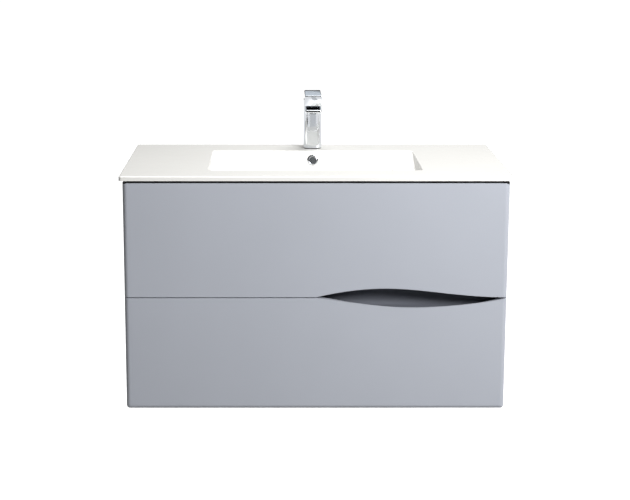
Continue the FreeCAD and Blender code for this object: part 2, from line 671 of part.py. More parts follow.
def build_hangers():
    """Two cabinet hangers in the top rear corners, the hooks that leave them, and the plates on the wall."""
    cases = []
    hooks = []
    plates = []
    case_top = "(carcass_height - hanger_drop)"
    case_foot = f"({case_top} - hanger_height)"
    case_front = "(-hanger_rear - hanger_length)"
    hook_top = "(carcass_height - hook_drop)"
    hook_under = f"({hook_top} - hook_thickness)"
    hook_rear = "(-plate_gauge - 0.5)"
    hook_front = f"({case_front} + 26)"
    hook_start = "((hanger_width - hook_width)/2)"
    plate_foot = f"({hook_top} - 4 - plate_height)"
    shelf_top = f"({plate_foot} + 30)"
    for side, sign in (("Left", -1), ("Right", 1)):
        shell = box(f"{side}CaseShell", inwards(sign, INNER, "0", "hanger_width"),
                    (case_front, "-hanger_rear"), (case_foot, case_top))
        hollow = box(f"{side}CaseHollow", inwards(sign, INNER, "hanger_wall", "hanger_width - hanger_wall"),
                     (f"{case_front} + 10", "-hanger_rear + 5"), (f"{case_foot} + 4", f"{case_top} - 4"))
        pilots = [
            pilot(f"{side}CasePilot{i}", (f"({sign}*({INNER} - hanger_wall))", y, z), "x", sign)
            for i, (y, z) in enumerate(hanger_screw_places())
        ]
        cases.append(cut(f"{side}Case", shell, [hollow] + pilots))
        across = inwards(sign, INNER, hook_start, f"{hook_start} + hook_width")
        arm = box(f"{side}HookArm", across, (hook_front, hook_rear), (hook_under, hook_top))
        tip = box(f"{side}HookTip", across, (f"{hook_rear} - 2.7", hook_rear),
                  (f"{hook_top} - 13", hook_top))
        root = box(f"{side}HookRoot", across, (hook_front, f"{hook_front} + 6"),
                   (f"{hook_top} - 26", hook_top))
        hooks.append(fuse(f"{side}Hook", [arm, tip, root]))
        along = inwards(sign, INNER, "2", "2 + plate_length")
        face = box(f"{side}PlateFace", along, ("-plate_gauge", "0"), (plate_foot, shelf_top))
        shelf = box(f"{side}PlateShelf", along, ("-plate_ledge", "0"),
                    (f"{shelf_top} - plate_gauge", shelf_top))
        lip = box(f"{side}PlateLip", along, ("-plate_ledge", "-plate_ledge + plate_gauge"),
                  (f"{shelf_top} - plate_gauge", hook_under))
        holes = []
        for i, reach in enumerate(("22", "plate_length - plate_hole_end - 2")):
            at = (f"({sign}*({INNER} - 2 - ({reach})))", "(-plate_gauge - 3)", f"({plate_foot} + 12)")
            holes.append(rod(f"{side}PlateHole{i}", "plate_hole_radius", "10", at, "y"))
        plates.append(cut(f"{side}Plate", fuse(f"{side}PlateSheet", [face, shelf, lip]), holes))
    keep("hanger_cases", group("HangerCases", cases))
    keep("hanger_hooks", group("HangerHooks", hooks))
    keep("wall_plates", group("WallPlates", plates))


def build_cabinet_screws():
    """Screws that hold the runner rails, the hangers and the grip channel to the side panels."""
    screws = [
        screw(f"{side}Screw{i}", (f"({sign}*({INNER} - {held}))", y, z), "x", sign)
        for side, sign in (("Left", -1), ("Right", 1))
        for i, (held, y, z) in enumerate(side_screw_places())
    ]
    keep("cabinet_screws", group("CabinetScrews", screws))


# ---- runners ---------------------------------------------------------------------------------------


def runner_sections():
    """The three rolled sections of a runner, as (across, up) points from the panel's face and its base."""
    track_end = "(track_start + track_width)"
    middle = "(track_start + track_width/2)"
    lip_under = "(track_height - gauge)"
    cabinet = [
        ("0", "0"), (track_end, "0"), (track_end, "track_height"),
        (f"{track_end} - track_lip", "track_height"),
        (f"{track_end} - track_lip", lip_under), (f"{track_end} - gauge", lip_under),
        (f"{track_end} - gauge", "gauge"), ("track_start + gauge", "gauge"),
        ("track_start + gauge", lip_under),
        ("track_start + track_lip", lip_under), ("track_start + track_lip", "track_height"),
        ("track_start", "track_height"), ("track_start", "gauge"), ("gauge", "gauge"),
        ("gauge", "rail_flange"), ("0", "rail_flange"),
    ]
    foot = "(track_width/2 - 3)"
    head = "(track_width/2 - 6)"
    middle_top = "(middle_base + middle_height)"
    centre = [
        (f"{middle} - {foot}", "middle_base"), (f"{middle} + {foot}", "middle_base"),
        (f"{middle} + {foot}", "middle_base + gauge"), (f"{middle} + gauge/2", "middle_base + gauge"),
        (f"{middle} + gauge/2", f"{middle_top} - gauge"), (f"{middle} + {head}", f"{middle_top} - gauge"),
        (f"{middle} + {head}", middle_top), (f"{middle} - {head}", middle_top),
        (f"{middle} - {head}", f"{middle_top} - gauge"), (f"{middle} - gauge/2", f"{middle_top} - gauge"),
        (f"{middle} - gauge/2", "middle_base + gauge"), (f"{middle} - {foot}", "middle_base + gauge"),
    ]
    wide = "(track_width/2 - 2)"
    grip = "(track_width/2 - 8)"
    low = "(carrier_top - carrier_height)"
    carrier = [
        (f"{middle} - {wide}", "carrier_top"), (f"{middle} - {wide}", low), (f"{middle} - {grip}", low),
        (f"{middle} - {grip}", f"{low} + gauge"), (f"{middle} - {wide} + gauge", f"{low} + gauge"),
        (f"{middle} - {wide} + gauge", "carrier_top - gauge"),
        (f"{middle} + {wide} - gauge", "carrier_top - gauge"),
        (f"{middle} + {wide} - gauge", f"{low} + gauge"), (f"{middle} + {grip}", f"{low} + gauge"),
        (f"{middle} + {grip}", low), (f"{middle} + {wide}", low), (f"{middle} + {wide}", "carrier_top"),
    ]
    return cabinet, centre, carrier


def build_runners():
    """Full-extension runners under each drawer's sides: cabinet, middle and drawer rails, and rollers."""
    cabinet, centre, carrier = runner_sections()
    middle = "(track_start + track_width/2)"
    for which in ("lower", "upper"):
        base = RUNNER[which]
        made = {}
        for part, points, length, start in (
            ("cabinet_rail", cabinet, "runner_length", RUNNER_FRONT),
            ("middle_rail", centre, "middle_length", f"({RUNNER_FRONT} + 2)"),
            ("drawer_rail", carrier, "carrier_length", f"({RUNNER_FRONT} + 1)"),
        ):
            body = extruded(f"{which}{part}", "XZ_Plane", points, length, reverse=True)
            made[part] = place(body, f"-{INNER}", start, base)
        bores = [
            rod(f"{which}RailBore{i}", "screw_radius", "gauge + 2*screw_radius",
                (f"(-{INNER} - screw_radius)", y, z), "x")
            for i, (y, z) in enumerate(rail_screw_places(base))
        ]
        made["cabinet_rail"] = cut(f"{which}CabinetRail", made["cabinet_rail"], bores)
        rollers = []
        for i in range(ROLLER_ROWS):
            y = f"({RUNNER_FRONT} + 20 + {i}*(middle_length - 40)/{ROLLER_ROWS - 1})"
            foot_y = f"({y} + roller)"
            wide = "(track_width/2 - 4)"
            slim = "(track_width/2 - 7)"
            rollers.append(rod(f"{which}FootRoller{i}", "roller/2", f"2*{wide}",
                               (f"(-{INNER} + {middle} - {wide})", foot_y,
                                f"({base} + gauge + (middle_base - gauge)/2)"), "x"))
            rollers.append(rod(f"{which}HeadRoller{i}", "roller/2", f"2*{slim}",
                               (f"(-{INNER} + {middle} - {slim})", y,
                                f"({base} + (middle_base + middle_height + carrier_top - gauge)/2)"), "x"))
        made["middle_rail"] = group(f"{which}MiddleRail", [made["middle_rail"]] + rollers)
        for part, piece in made.items():
            keep(f"{which}_left_{part}", piece)
            keep(f"{which}_right_{part}", mirrored(f"{which}Right{part}", piece))


# ---- drawer boxes ----------------------------------------------------------------------------------


def bracket_heights(which):
    """Heights of the two screws in each leg of a front's brackets."""
    return [f"({BOX_TOP[which]} - bracket_drop - bracket_pitch)", f"({BOX_TOP[which]} - bracket_drop)"]


def front_screw_places(which):
    """Where the front brackets' screws enter a front, from behind."""
    return [
        (f"({sign}*({BOX_IN} - bracket_face_hole))", FRONT_BACK, z)
        for sign in (-1, 1)
        for z in bracket_heights(which)
    ]


def side_bracket_places(which, sign):
    """Where the front brackets' screws enter a drawer side, from inside."""
    y = f"({FRONT_BACK} + bracket_side_hole)"
    return [(f"({sign}*{BOX_IN})", y, z) for z in bracket_heights(which)]


def build_drawer(which):
    """A drawer box of melamine boards on its drawer rails, with brackets for the front and release clips."""
    floor_low = f"({RUNNER[which]} + carrier_top)"
    floor_high = f"({floor_low} + box_floor)"
    low = f"({floor_low} - box_skirt)"
    high = BOX_TOP[which]
    for side, sign in (("left", -1), ("right", 1)):
        x = (f"-{BOX_OUT}", f"-{BOX_IN}") if sign < 0 else (BOX_IN, BOX_OUT)
        board = box(f"{which}{side}Board", x, (FRONT_BACK, BOX_REAR), (low, high))
        holes = [
            pilot(f"{which}{side}BracketPilot{i}", at, "x", sign)
            for i, at in enumerate(side_bracket_places(which, sign))
        ]
        keep(f"{which}_{side}_side", cut(f"{which}{side}Side", board, holes))
    back_front = f"({BOX_REAR} - box_wall)"
    if which == "lower":
        keep("lower_bottom", box("lowerBottom", (f"-{BOX_IN}", BOX_IN), (FRONT_BACK, back_front),
                                 (floor_low, floor_high)))
        keep("lower_back", box("lowerBack", (f"-{BOX_IN}", BOX_IN), (back_front, BOX_REAR),
                               (floor_low, high)))
    else:
        bay = "(trap_bay_half + bay_board)"
        bay_front = "(-trap_bay_front - bay_board)"
        outline = [
            (f"-{BOX_IN}", FRONT_BACK), (BOX_IN, FRONT_BACK), (BOX_IN, back_front), (bay, back_front),
            (bay, bay_front), (f"-{bay}", bay_front), (f"-{bay}", back_front), (f"-{BOX_IN}", back_front),
        ]
        bottom = extruded("upperBottom", "XY_Plane", outline, "box_floor")
        keep("upper_bottom", place(bottom, "0", "0", floor_low))
        keep("upper_back", group("upperBack", [
            box("upperBackLeft", (f"-{BOX_IN}", f"-{bay}"), (back_front, BOX_REAR), (floor_low, high)),
            box("upperBackRight", (bay, BOX_IN), (back_front, BOX_REAR), (floor_low, high)),
        ]))
        beside = ("-trap_bay_front", BOX_REAR)
        ahead = (bay_front, "-trap_bay_front")
        keep("upper_trap_bay", group("upperBay", [
            box("upperBayLeft", (f"-{bay}", "-trap_bay_half"), beside, (floor_low, high)),
            box("upperBayRight", ("trap_bay_half", bay), beside, (floor_low, high)),
            box("upperBayFront", (f"-{bay}", bay), ahead, (floor_low, high)),
        ]))
    build_front_fixings(which)
    build_release_clips(which, floor_low)


def build_front_fixings(which):
    """Two angle brackets with their screws, which hold a front to its drawer box."""
    foot, crown = bracket_heights(which)
    tall = (f"({foot} - bracket_margin)", f"({crown} + bracket_margin)")
    fixings = []
    for side, sign in (("Left", -1), ("Right", 1)):
        side_leg = box(f"{which}{side}SideLeg", inwards(sign, BOX_IN, "0", "bracket_gauge"),
                       (FRONT_BACK, f"({FRONT_BACK} + bracket_side)"), tall)
        front_leg = box(f"{which}{side}FrontLeg", inwards(sign, BOX_IN, "0", "bracket_face"),
                        (FRONT_BACK, f"({FRONT_BACK} + bracket_gauge)"), tall)
        into_side = [
            (f"({sign}*({BOX_IN} - bracket_gauge))", y, z) for _, y, z in side_bracket_places(which, sign)
        ]
        into_front = [
            (f"({sign}*({BOX_IN} - bracket_face_hole))", f"({FRONT_BACK} + bracket_gauge)", z)
            for z in (foot, crown)
        ]
        bores = [pilot(f"{which}{side}LegBore{i}", at, "x", sign) for i, at in enumerate(into_side)]
        bores += [pilot(f"{which}{side}FaceBore{i}", at, "y", -1) for i, at in enumerate(into_front)]
        angle = fuse(f"{which}{side}Angle", [side_leg, front_leg])
        fixings.append(cut(f"{which}{side}Bracket", angle, bores))
        fixings += [screw(f"{which}{side}LegScrew{i}", at, "x", sign) for i, at in enumerate(into_side)]
        fixings += [screw(f"{which}{side}FaceScrew{i}", at, "y", -1) for i, at in enumerate(into_front)]
    keep(f"{which}_front_fixings", group(f"{which}Fixings", fixings))


def build_release_clips(which, floor_low):
    """The clips under a drawer's bottom that lock it to its rails, each with a finger lever."""
    start = "(track_start + track_width - 1 - (box_gap + box_wall))"
    end = f"({start} + clip_width)"
    front = f"({FRONT_BACK} + clip_setback)"
    lever_front = f"({front} + 2)"
    lever_low = f"({floor_low} - clip_height + 3)"
    clips = []
    for side, sign in (("Left", -1), ("Right", 1)):
        case = box(f"{which}{side}Clip", inwards(sign, BOX_IN, start, end),
                   (front, f"({front} + clip_length)"), (f"{floor_low} - clip_height", floor_low))
        tongue = box(f"{which}{side}Tongue", inwards(sign, BOX_IN, end, f"{end} + tongue_reach"),
                     (lever_front, f"({lever_front} + tongue_length)"),
                     (lever_low, f"({lever_low} + tongue_height)"))
        clips.append(fuse(f"{which}{side}ClipBody", [case, tongue]))
    keep(f"{which}_release_clips", group(f"{which}Clips", clips))


# ---- washbasin -------------------------------------------------------------------------------------


def rectangle(half_x, y_front, y_rear):
    return [(f"-{half_x}", y_front), (half_x, y_front), (half_x, y_rear), (f"-{half_x}", y_rear)]


def basin_hollow(body, name, grown):
    """Two rounded outlines of the bowl, at the deck and at its floor, grown outwards by an expression."""
    sections = []
    for part, half, front, rear, corner, height in (
        ("Top", "bowl_width/2", "-bowl_rear - bowl_length", "-bowl_rear", "bowl_corner", DECK),
        ("Floor", "bowl_floor_width/2", "-bowl_floor_rear - bowl_floor_length", "-bowl_floor_rear",
         "bowl_floor_corner", f"({FLOOR} - {grown})"),
    ):
        low = f"({front} - {grown})"
        high = f"({rear} + {grown})"
        if part == "Top" and grown != "0":
            height = "(carcass_height + basin_edge/2)"
        sections.append(rounded_outline(body, name + part, f"({half} + {grown})", low, high,
                                        f"({corner} + {grown})", height))
    return sections


def loft(body, name, kind, sections):
    made = body.newObject(f"PartDesign::{kind}", name)
    made.Profile = sections[0]
    made.Sections = sections[1:]
    made.Ruled = True
    for drawn in sections:
        drawn.Visibility = False
    body.Tip = made
    return made


def overflow_place():
    """Where the overflow meets the sloping rear wall, and how far that wall leans, in degrees."""
    lean = math.degrees(math.atan2(number("bowl_floor_rear - bowl_rear"), number("bowl_depth")))
    y = "(-bowl_rear - (bowl_floor_rear - bowl_rear)*overflow_drop/bowl_depth)"
    return y, f"({DECK} - overflow_drop)", lean


def build_basin():
    """One ceramic casting: a flat deck with a sunk bowl whose side walls slope gently to its floor."""
    body = doc.addObject("PartDesign::Body", "Washbasin")
    outline = rectangle(BASIN_HALF, "-basin_depth", "0")
    slab = sketch(body, "DeckOutline", "XY_Plane", outline, "carcass_height")
    pad(body, slab, "basin_edge")
    rounded(body, upright, "basin_corner")
    deck = number(DECK)
    loft(body, "Shell", "AdditiveLoft", basin_hollow(body, "Shell", "ceramic"))
    lowest = number(UNDER_BOWL)
    rounded(body, lambda b: near(b.ZMin, lowest) and near(b.ZMax, lowest), "2.5*ceramic")
    hump = sketch(body, "HumpOutline", "XY_Plane", rectangle(
        "(2*overflow_radius)", "-bowl_floor_rear - 4", "-bowl_rear + ceramic + 12"), f"{FLOOR} + 45")
    pad(body, hump, f"carcass_height - ({FLOOR} + 45)")
    loft(body, "Bowl", "SubtractiveLoft", basin_hollow(body, "Bowl", "0"))
    floor = number(FLOOR)
    rounded(body, lambda b: near(b.ZMin, floor) and near(b.ZMax, floor), "2.2*ceramic")
    rounded(body, lambda b: near(b.ZMin, deck) and near(b.ZMax, deck) and b.YMax < -1, "deck_round")
    y, z, lean = overflow_place()
    hole = doc.addObject("Part::Cylinder", "OverflowHole")
    hole.Placement.Rotation = FreeCAD.Rotation(FreeCAD.Vector(1, 0, 0), -90 - lean)
    bind(hole, {"Radius": "overflow_radius", "Height": "22"})
    place(hole, "0", f"{y} - 6*cos({lean})", f"{z} + 6*sin({lean})")
    drain = rod("DrainHole", "drain_radius", "ceramic + 20", ("0", WASTE_Y, f"({UNDER_BOWL} - 10)"))
    tap_hole = rod("TapHole", "tap_hole_radius", "basin_edge + 10", ("0", TAP_Y, "(carcass_height - 5)"))
    keep("washbasin", cut("Basin", body, [hole, drain, tap_hole]))


def build_overflow_ring():
    """Chrome ring pressed into the overflow, square to the leaning rear wall."""
    y, z, lean = overflow_place()
    sleeve = "(overflow_radius - running)"
    ring = turned("OverflowRing", [
        (f"({sleeve} - 1.2)", "-12"), (sleeve, "-12"), (sleeve, "0"), ("overflow_radius + 5", "0"),
        ("overflow_radius + 5", "1.5"), ("overflow_radius + 3.5", "3"), ("overflow_radius", "3"),
        (f"({sleeve} - 1.2)", "1.5"),
    ])
    ring.Placement.Rotation = FreeCAD.Rotation(FreeCAD.Vector(1, 0, 0), 90 - lean)
    keep("overflow_ring", place(ring, "0", y, z))


# ---- waste and trap --------------------------------------------------------------------------------


def build_waste():
    """Click-clack waste: flange and tail, rubber gasket, lock nut, and the plug that slides in its bridge."""
    centre = ("0", WASTE_Y, FLOOR)
    bore = "(tail_radius - 4)"
    flange = turned("WasteFlangeBody", [
        (bore, "-tail_length"), ("tail_radius", "-tail_length"), ("tail_radius", "0"),
        ("tail_radius + 11", "0"), ("tail_radius + 11", "2"), ("tail_radius + 9.5", "3.5"),
        (f"{bore} + 4", "3.5"), (bore, "-3"),
    ], centre)
    bridge = box("WasteBridge", (f"-({bore} + 1)", f"({bore} + 1)"), (f"{WASTE_Y} - 7", f"{WASTE_Y} + 7"),
                 (f"{FLOOR} - 25", f"{FLOOR} - 19"))
    guide = rod("WasteGuide", "4 + running", "20", ("0", WASTE_Y, f"({FLOOR} - 30)"))
    keep("waste_flange", cut("WasteFlange", fuse("WasteBridged", [flange, bridge]), [guide]))
    keep("waste_plug", turned("WastePlug", [
        ("0", "-40"), ("4", "-40"), ("4", "-2"), (f"({bore} - 1)", "-2"), (f"({bore} - 1)", "4"),
        ("tail_radius + 9", "4"), ("tail_radius + 9", "7"), ("tail_radius + 3", "10"), ("0", "11"),
    ], centre))
    keep("waste_gasket", turned("WasteGasket", [
        ("tail_radius + running", "-ceramic - 4"), ("tail_radius + 9", "-ceramic - 4"),
        ("tail_radius + 9", "-ceramic"), ("tail_radius + running", "-ceramic"),
    ], centre))
    nut = hexagon("WasteNutBlank", "tail_radius + 12", "12", ("0", WASTE_Y, f"({UNDER_BOWL} - 16)"))
    bored = rod("WasteNutBore", "tail_radius + running/2", "30", ("0", WASTE_Y, f"({UNDER_BOWL} - 25)"))
    keep("waste_lock_nut", cut("WasteNut", nut, [bored]))


def build_trap():
    """Bottle trap: dip pipe, bottle, screw-on cup, and the pipe to the wall, joined by hand nuts."""
    centre = ("0", WASTE_Y, OUTLET)
    slip = "(pipe_radius + running)"
    keep("trap_inlet_pipe", turned("DipPipe", [
        ("pipe_radius - pipe_wall", "-42"), ("pipe_radius", "-42"), ("pipe_radius", "outlet_drop + 12"),
        ("pipe_radius - pipe_wall", "outlet_drop + 12"),
    ], centre))
    bottle = turned("BottleShell", [
        (slip, "30"), ("pipe_radius + 6", "30"), ("pipe_radius + 6", "20"), ("bottle_radius", "20"),
        ("bottle_radius", "-34"), ("bottle_radius - 3", "-34"), ("bottle_radius - 3", "17"), (slip, "17"),
    ], centre)
    spigot = rod("OutletSpigot", "pipe_radius + 4.5", "24",
                 ("0", f"({WASTE_Y} + bottle_radius - 5)", OUTLET), "y")
    bored = rod("OutletBore", "pipe_radius", "34", ("0", f"({WASTE_Y} + bottle_radius - 10)", OUTLET), "y")
    keep("trap_body", cut("TrapBody", fuse("TrapShell", [bottle, spigot]), [bored]))
    keep("trap_cup", turned("TrapCup", [
        ("0", "-68"), ("bottle_radius - 6", "-68"), ("bottle_radius + 3", "-60"),
        ("bottle_radius + 3", "-23"),
        ("bottle_radius + running", "-23"), ("bottle_radius + running", "-34"), ("bottle_radius - 3", "-34"),
        ("bottle_radius - 3", "-58"), ("bottle_radius - 9", "-64"), ("0", "-64"),
    ], centre))
    spigot_end = f"({WASTE_Y} + bottle_radius + 19)"
    keep("trap_outlet_pipe", turned("OutletPipe", [
        ("pipe_radius - pipe_wall", "-waste_from_wall + bottle_radius + 4"),
        ("pipe_radius - 0.5", "-waste_from_wall + bottle_radius + 4"),
        ("pipe_radius - 0.5", "-waste_from_wall + bottle_radius + 34"),
        ("pipe_radius", "-waste_from_wall + bottle_radius + 34"), ("pipe_radius", "0"),
        ("pipe_radius - pipe_wall", "0"),
    ], ("0", "0", OUTLET), "y"))

    def hand_nut(name, grip, neck, long, at, axis="z"):
        """A nut that grips a pipe of radius grip and screws over a neck."""
        return turned(name, [
            (grip, "0"), (grip, "4"), (f"{neck} + 4", "4"), (f"{neck} + 4", f"-{long}"),
            (f"{neck} + running", f"-{long}"), (f"{neck} + running", "0"),
        ], at, axis)

    neck_nut = hand_nut("NeckNut", slip, "(pipe_radius + 6)", "9", ("0", WASTE_Y, f"({OUTLET} + 30.2)"))
    outlet_nut = hand_nut("OutletNut", "(pipe_radius - 0.4)", "(pipe_radius + 4.5)", "10",
                          ("0", f"({spigot_end} + 0.2)", OUTLET), "y")
    tail_nut = turned("TailNut", [
        (slip, "-5"), ("tail_radius + 5", "-5"), ("tail_radius + 5", "9"), ("tail_radius + running", "9"),
        ("tail_radius + running", "-0.5"), (slip, "-0.5"),
    ], ("0", WASTE_Y, f"({FLOOR} - tail_length)"))
    keep("trap_nuts", group("TrapNuts", [tail_nut, neck_nut, outlet_nut]))


# ---- tap -------------------------------------------------------------------------------------------


def build_tap_body():
    """Cast body: a rounded square column with a flat spout, bored for the cartridge, the aerator, the stud
    and the two water inlets."""
    half = "(column_size/2)"
    column = doc.addObject("PartDesign::Body", "Column")
    drawn = sketch(column, "ColumnOutline", "XY_Plane",
                   rectangle(half, f"{TAP_Y} - {half}", f"{TAP_Y} + {half}"), TAP_BASE)
    pad(column, drawn, "column_height")
    rounded(column, upright, "column_round")
    base = number(TAP_BASE)
    top = number(COLUMN_TOP)
    rounded(column, lambda b: near(b.ZMin, base) and near(b.ZMax, base), "1")
    rounded(column, lambda b: near(b.ZMin, top) and near(b.ZMax, top), "1.5")
    spout = extruded("Spout", "YZ_Plane", [
        (TAP_Y, COLUMN_TOP), (SPOUT_NOSE, SPOUT_TOP), (SPOUT_NOSE, SPOUT_UNDER),
        (f"{TAP_Y} - {half} + 2", f"{COLUMN_TOP} - spout_root"), (TAP_Y, f"{COLUMN_TOP} - spout_root"),
    ], "spout_width", midplane=True)
    front = number(SPOUT_NOSE)
    side = number("spout_width/2")
    rounded(spout, lambda b: near(b.YMin, front) and near(b.YMax, front) and near(abs(b.XMin), side), "5")
    rounded(spout, lambda b: b.YLength > 40 and near(abs(b.XMin), side), "3")
    behind = f"({TAP_Y} + stud_behind)"
    bores = [
        rod("CartridgeBore", "cartridge_radius + running", f"cartridge_height + {COVER}",
            ("0", TAP_Y, f"({COLUMN_TOP} - cartridge_height)")),
        rod("AeratorBore", "aerator_radius + running", "aerator_height",
            ("0", AERATOR_Y, f"({AERATOR_TOP} - aerator_height)")),
        rod("StudBore", "stud_radius", "15", ("0", behind, TAP_BASE)),
    ]
    for side, sign in (("Cold", ""), ("Hot", "-")):
        at = (f"({sign}inlet_offset)", f"({TAP_Y} - inlet_ahead)", TAP_BASE)
        bores.append(rod(f"Inlet{side}", "inlet_radius", "inlet_depth", at))
    keep("tap_body", cut("TapBody", fuse("TapCasting", [column, spout]), bores))
    keep("tap_aerator", turned("Aerator", [
        ("aerator_radius - 4", "-aerator_height"), ("aerator_radius - 1.5", "-aerator_height"),
        ("aerator_radius", "-aerator_height + 1.5"), ("aerator_radius", "-0.2"),
        ("aerator_radius - 4", "-0.2"),
    ], ("0", AERATOR_Y, AERATOR_TOP)))


def build_tap_clamp():
    """Seal under the tap, and the stud, slotted washer and nut that clamp it to the washbasin."""
    half = "(column_size/2)"
    inset = "0.8"
    behind = f"({TAP_Y} + stud_behind)"
    seal = doc.addObject("PartDesign::Body", "BaseSeal")
    drawn = rounded_outline(seal, "SealOutline", f"({half} - {inset})", f"({TAP_Y} - {half} + {inset})",
                            f"({TAP_Y} + {half} - {inset})", f"(column_round - {inset})", DECK)
    pad(seal, drawn, "seal_height")
    seal_bore = rod("SealBore", "tap_hole_radius", "seal_height + 2", ("0", TAP_Y, f"({DECK} - 1)"))
    keep("tap_base_seal", cut("TapSeal", seal, [seal_bore]))
    stud_foot = f"({TAP_BASE} + 15 - stud_length)"
    keep("tap_stud", rod("Stud", "stud_radius", "stud_length", ("0", behind, stud_foot)))
    under = "(carcass_height - washer_height)"
    blank = rod("WasherBlank", "washer_radius", "washer_height", ("0", TAP_Y, under))
    gap = box("WasherGap", ("-inlet_offset - 6", "inlet_offset + 6"), (f"{TAP_Y} - 30", f"{TAP_Y} + 3"),
              (f"{under} - {COVER}", f"carcass_height + {COVER}"))
    hole = rod("WasherHole", "stud_radius + running", "20", ("0", behind, f"({under} - 7)"))
    keep("tap_clamp_washer", cut("ClampWasher", blank, [gap, hole]))
    nut_foot = f"({under} - clamp_nut_height)"
    nut = hexagon("ClampNutBlank", "clamp_nut_radius", "clamp_nut_height", ("0", behind, nut_foot))
    nut_bore = rod("ClampNutBore", "stud_radius + running/2", "20", ("0", behind, f"({nut_foot} - 4)"))
    keep("tap_clamp_nut", cut("ClampNut", nut, [nut_bore]))


def build_tap_lever():
    """Cartridge, the rotor that turns in it, the pivot pin, and the hollow lever that tilts on the pin."""
    slack = "0.3"
    keep("tap_cartridge", turned("Cartridge", [
        ("0", "-cartridge_height + 0.2"), ("cartridge_radius", "-cartridge_height + 0.2"),
        ("cartridge_radius", f"-{slack}"), ("rotor_radius + running", f"-{slack}"),
        ("rotor_radius + running", "-pivot_drop - 8"), ("0", "-pivot_drop - 8"),
    ], ("0", TAP_Y, COLUMN_TOP)))
    rotor = rod("RotorBlank", "rotor_radius", "pivot_drop + 6",
                ("0", TAP_Y, f"({COLUMN_TOP} - pivot_drop - 8 + running)"))
    slot = box("RotorSlot", ("-stem_half - running", "stem_half + running"),
               (f"{TAP_Y} - 10.5", f"{TAP_Y} + 10.5"), (f"{PIVOT} - 6.4", COLUMN_TOP))
    pin_hole = rod("RotorPinHole", "pin_radius", "40", ("-20", TAP_Y, PIVOT), "x")
    keep("tap_rotor", cut("Rotor", rotor, [slot, pin_hole]))
    keep("tap_pivot_pin", rod("PivotPin", "pin_radius", "2*rotor_radius - 3",
                              ("(-rotor_radius + 1.5)", TAP_Y, PIVOT), "x"))
    tail = f"({TAP_Y} + lever_tail)"
    tip = f"({TAP_Y} - lever_reach)"
    knee = f"({TAP_Y} - 0.72*column_size)"
    lip_low = f"({SPOUT_TOP} + lever_lip_gap)"
    lip_high = f"({lip_low} + lever_lip)"
    crown = f"({COLUMN_TOP} + lever_crown)"
    solid = extruded("LeverSolid", "YZ_Plane", [
        (tip, lip_low), (knee, LEVER_UNDER), (f"{TAP_Y} + 4", LEVER_UNDER), (tail, f"{LEVER_UNDER} + 8"),
        (tail, crown), (tip, lip_high),
    ], "lever_width", midplane=True)
    side = number("lever_width/2")
    top = number(crown)
    rounded(solid, lambda b: b.ZLength > 1 and near(b.YLength, 0) and near(abs(b.XMin), side), "4")
    rounded(solid, lambda b: b.ZMin > top - 0.5, "1")
    hollow_rear = f"({TAP_Y} - lever_boss)"
    hollow = extruded("LeverHollow", "YZ_Plane", [
        (f"{tip} + lever_wall", f"{lip_low} - {COVER}"), (hollow_rear, f"{lip_low} - {COVER}"),
        (hollow_rear, f"{crown} - lever_wall"), (f"{tip} + lever_wall", f"{lip_high} - lever_wall"),
    ], "lever_width - 2*lever_wall", midplane=True)
    shell = cut("LeverShell", solid, [hollow])
    stem = box("LeverStem", ("-stem_half", "stem_half"), (f"{TAP_Y} - 4.5", f"{TAP_Y} + 4.5"),
               (f"{PIVOT} - 4", f"{LEVER_UNDER} + 3"))
    eye = rod("LeverEye", "pin_radius + running/2", "40", ("-20", TAP_Y, PIVOT), "x")
    keep("tap_lever", cut("Lever", fuse("LeverWhole", [shell, stem]), [eye]))


# ---- everything ------------------------------------------------------------------------------------

build_carcass()
build_hangers()
build_cabinet_screws()
build_fronts()
build_channel()
build_runners()
build_drawer("lower")
build_drawer("upper")
build_basin()
build_overflow_ring()
build_waste()
build_trap()
build_tap_body()
build_tap_clamp()
build_tap_lever()
doc.recompute()

for made in doc.Objects:
    if "Invalid" in made.State or "Error" in made.State:
        raise RuntimeError(f"{made.Label} failed: {made.State}")
os.makedirs("parts", exist_ok=True)
for label, made in nodes.items():
    shape = made.Shape
    if shape.isNull() or not shape.isValid() or not shape.Solids:
        raise RuntimeError(f"{label} has no valid solid")
    shape.exportStep(f"parts/{label}.step")
print(len(nodes), "nodes written")
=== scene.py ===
import json
import math

import bmesh
import bpy
from mathutils import Matrix, Vector


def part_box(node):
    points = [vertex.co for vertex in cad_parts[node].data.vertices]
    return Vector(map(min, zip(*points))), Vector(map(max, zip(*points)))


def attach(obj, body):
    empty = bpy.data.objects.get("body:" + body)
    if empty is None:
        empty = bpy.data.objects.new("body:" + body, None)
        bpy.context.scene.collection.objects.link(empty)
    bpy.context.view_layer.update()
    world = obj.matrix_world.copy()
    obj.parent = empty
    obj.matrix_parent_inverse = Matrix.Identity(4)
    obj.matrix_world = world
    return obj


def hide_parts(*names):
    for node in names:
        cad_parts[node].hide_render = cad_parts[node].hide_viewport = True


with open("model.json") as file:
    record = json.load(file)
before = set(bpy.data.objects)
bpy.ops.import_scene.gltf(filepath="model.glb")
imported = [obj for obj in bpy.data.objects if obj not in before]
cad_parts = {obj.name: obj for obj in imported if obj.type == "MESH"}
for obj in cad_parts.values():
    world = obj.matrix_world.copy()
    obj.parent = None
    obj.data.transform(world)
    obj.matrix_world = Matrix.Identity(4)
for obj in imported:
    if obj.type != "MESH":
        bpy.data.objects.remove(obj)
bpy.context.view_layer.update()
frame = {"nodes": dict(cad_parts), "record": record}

bl_info = {
    "name": "Bathroom vanity cabinet",
    "version": (1, 0, 0),
    "blender": (4, 5, 0),
    "location": "View3D > Sidebar > Vanity",
    "description": "Finishes and fine pieces of a wall-hung vanity around its packed frame",
    "category": "Object",
}

# Metres, +Z up, the wall is Y = 0 and the drawer fronts face -Y.
MM = 0.001
NODES = frame["nodes"]


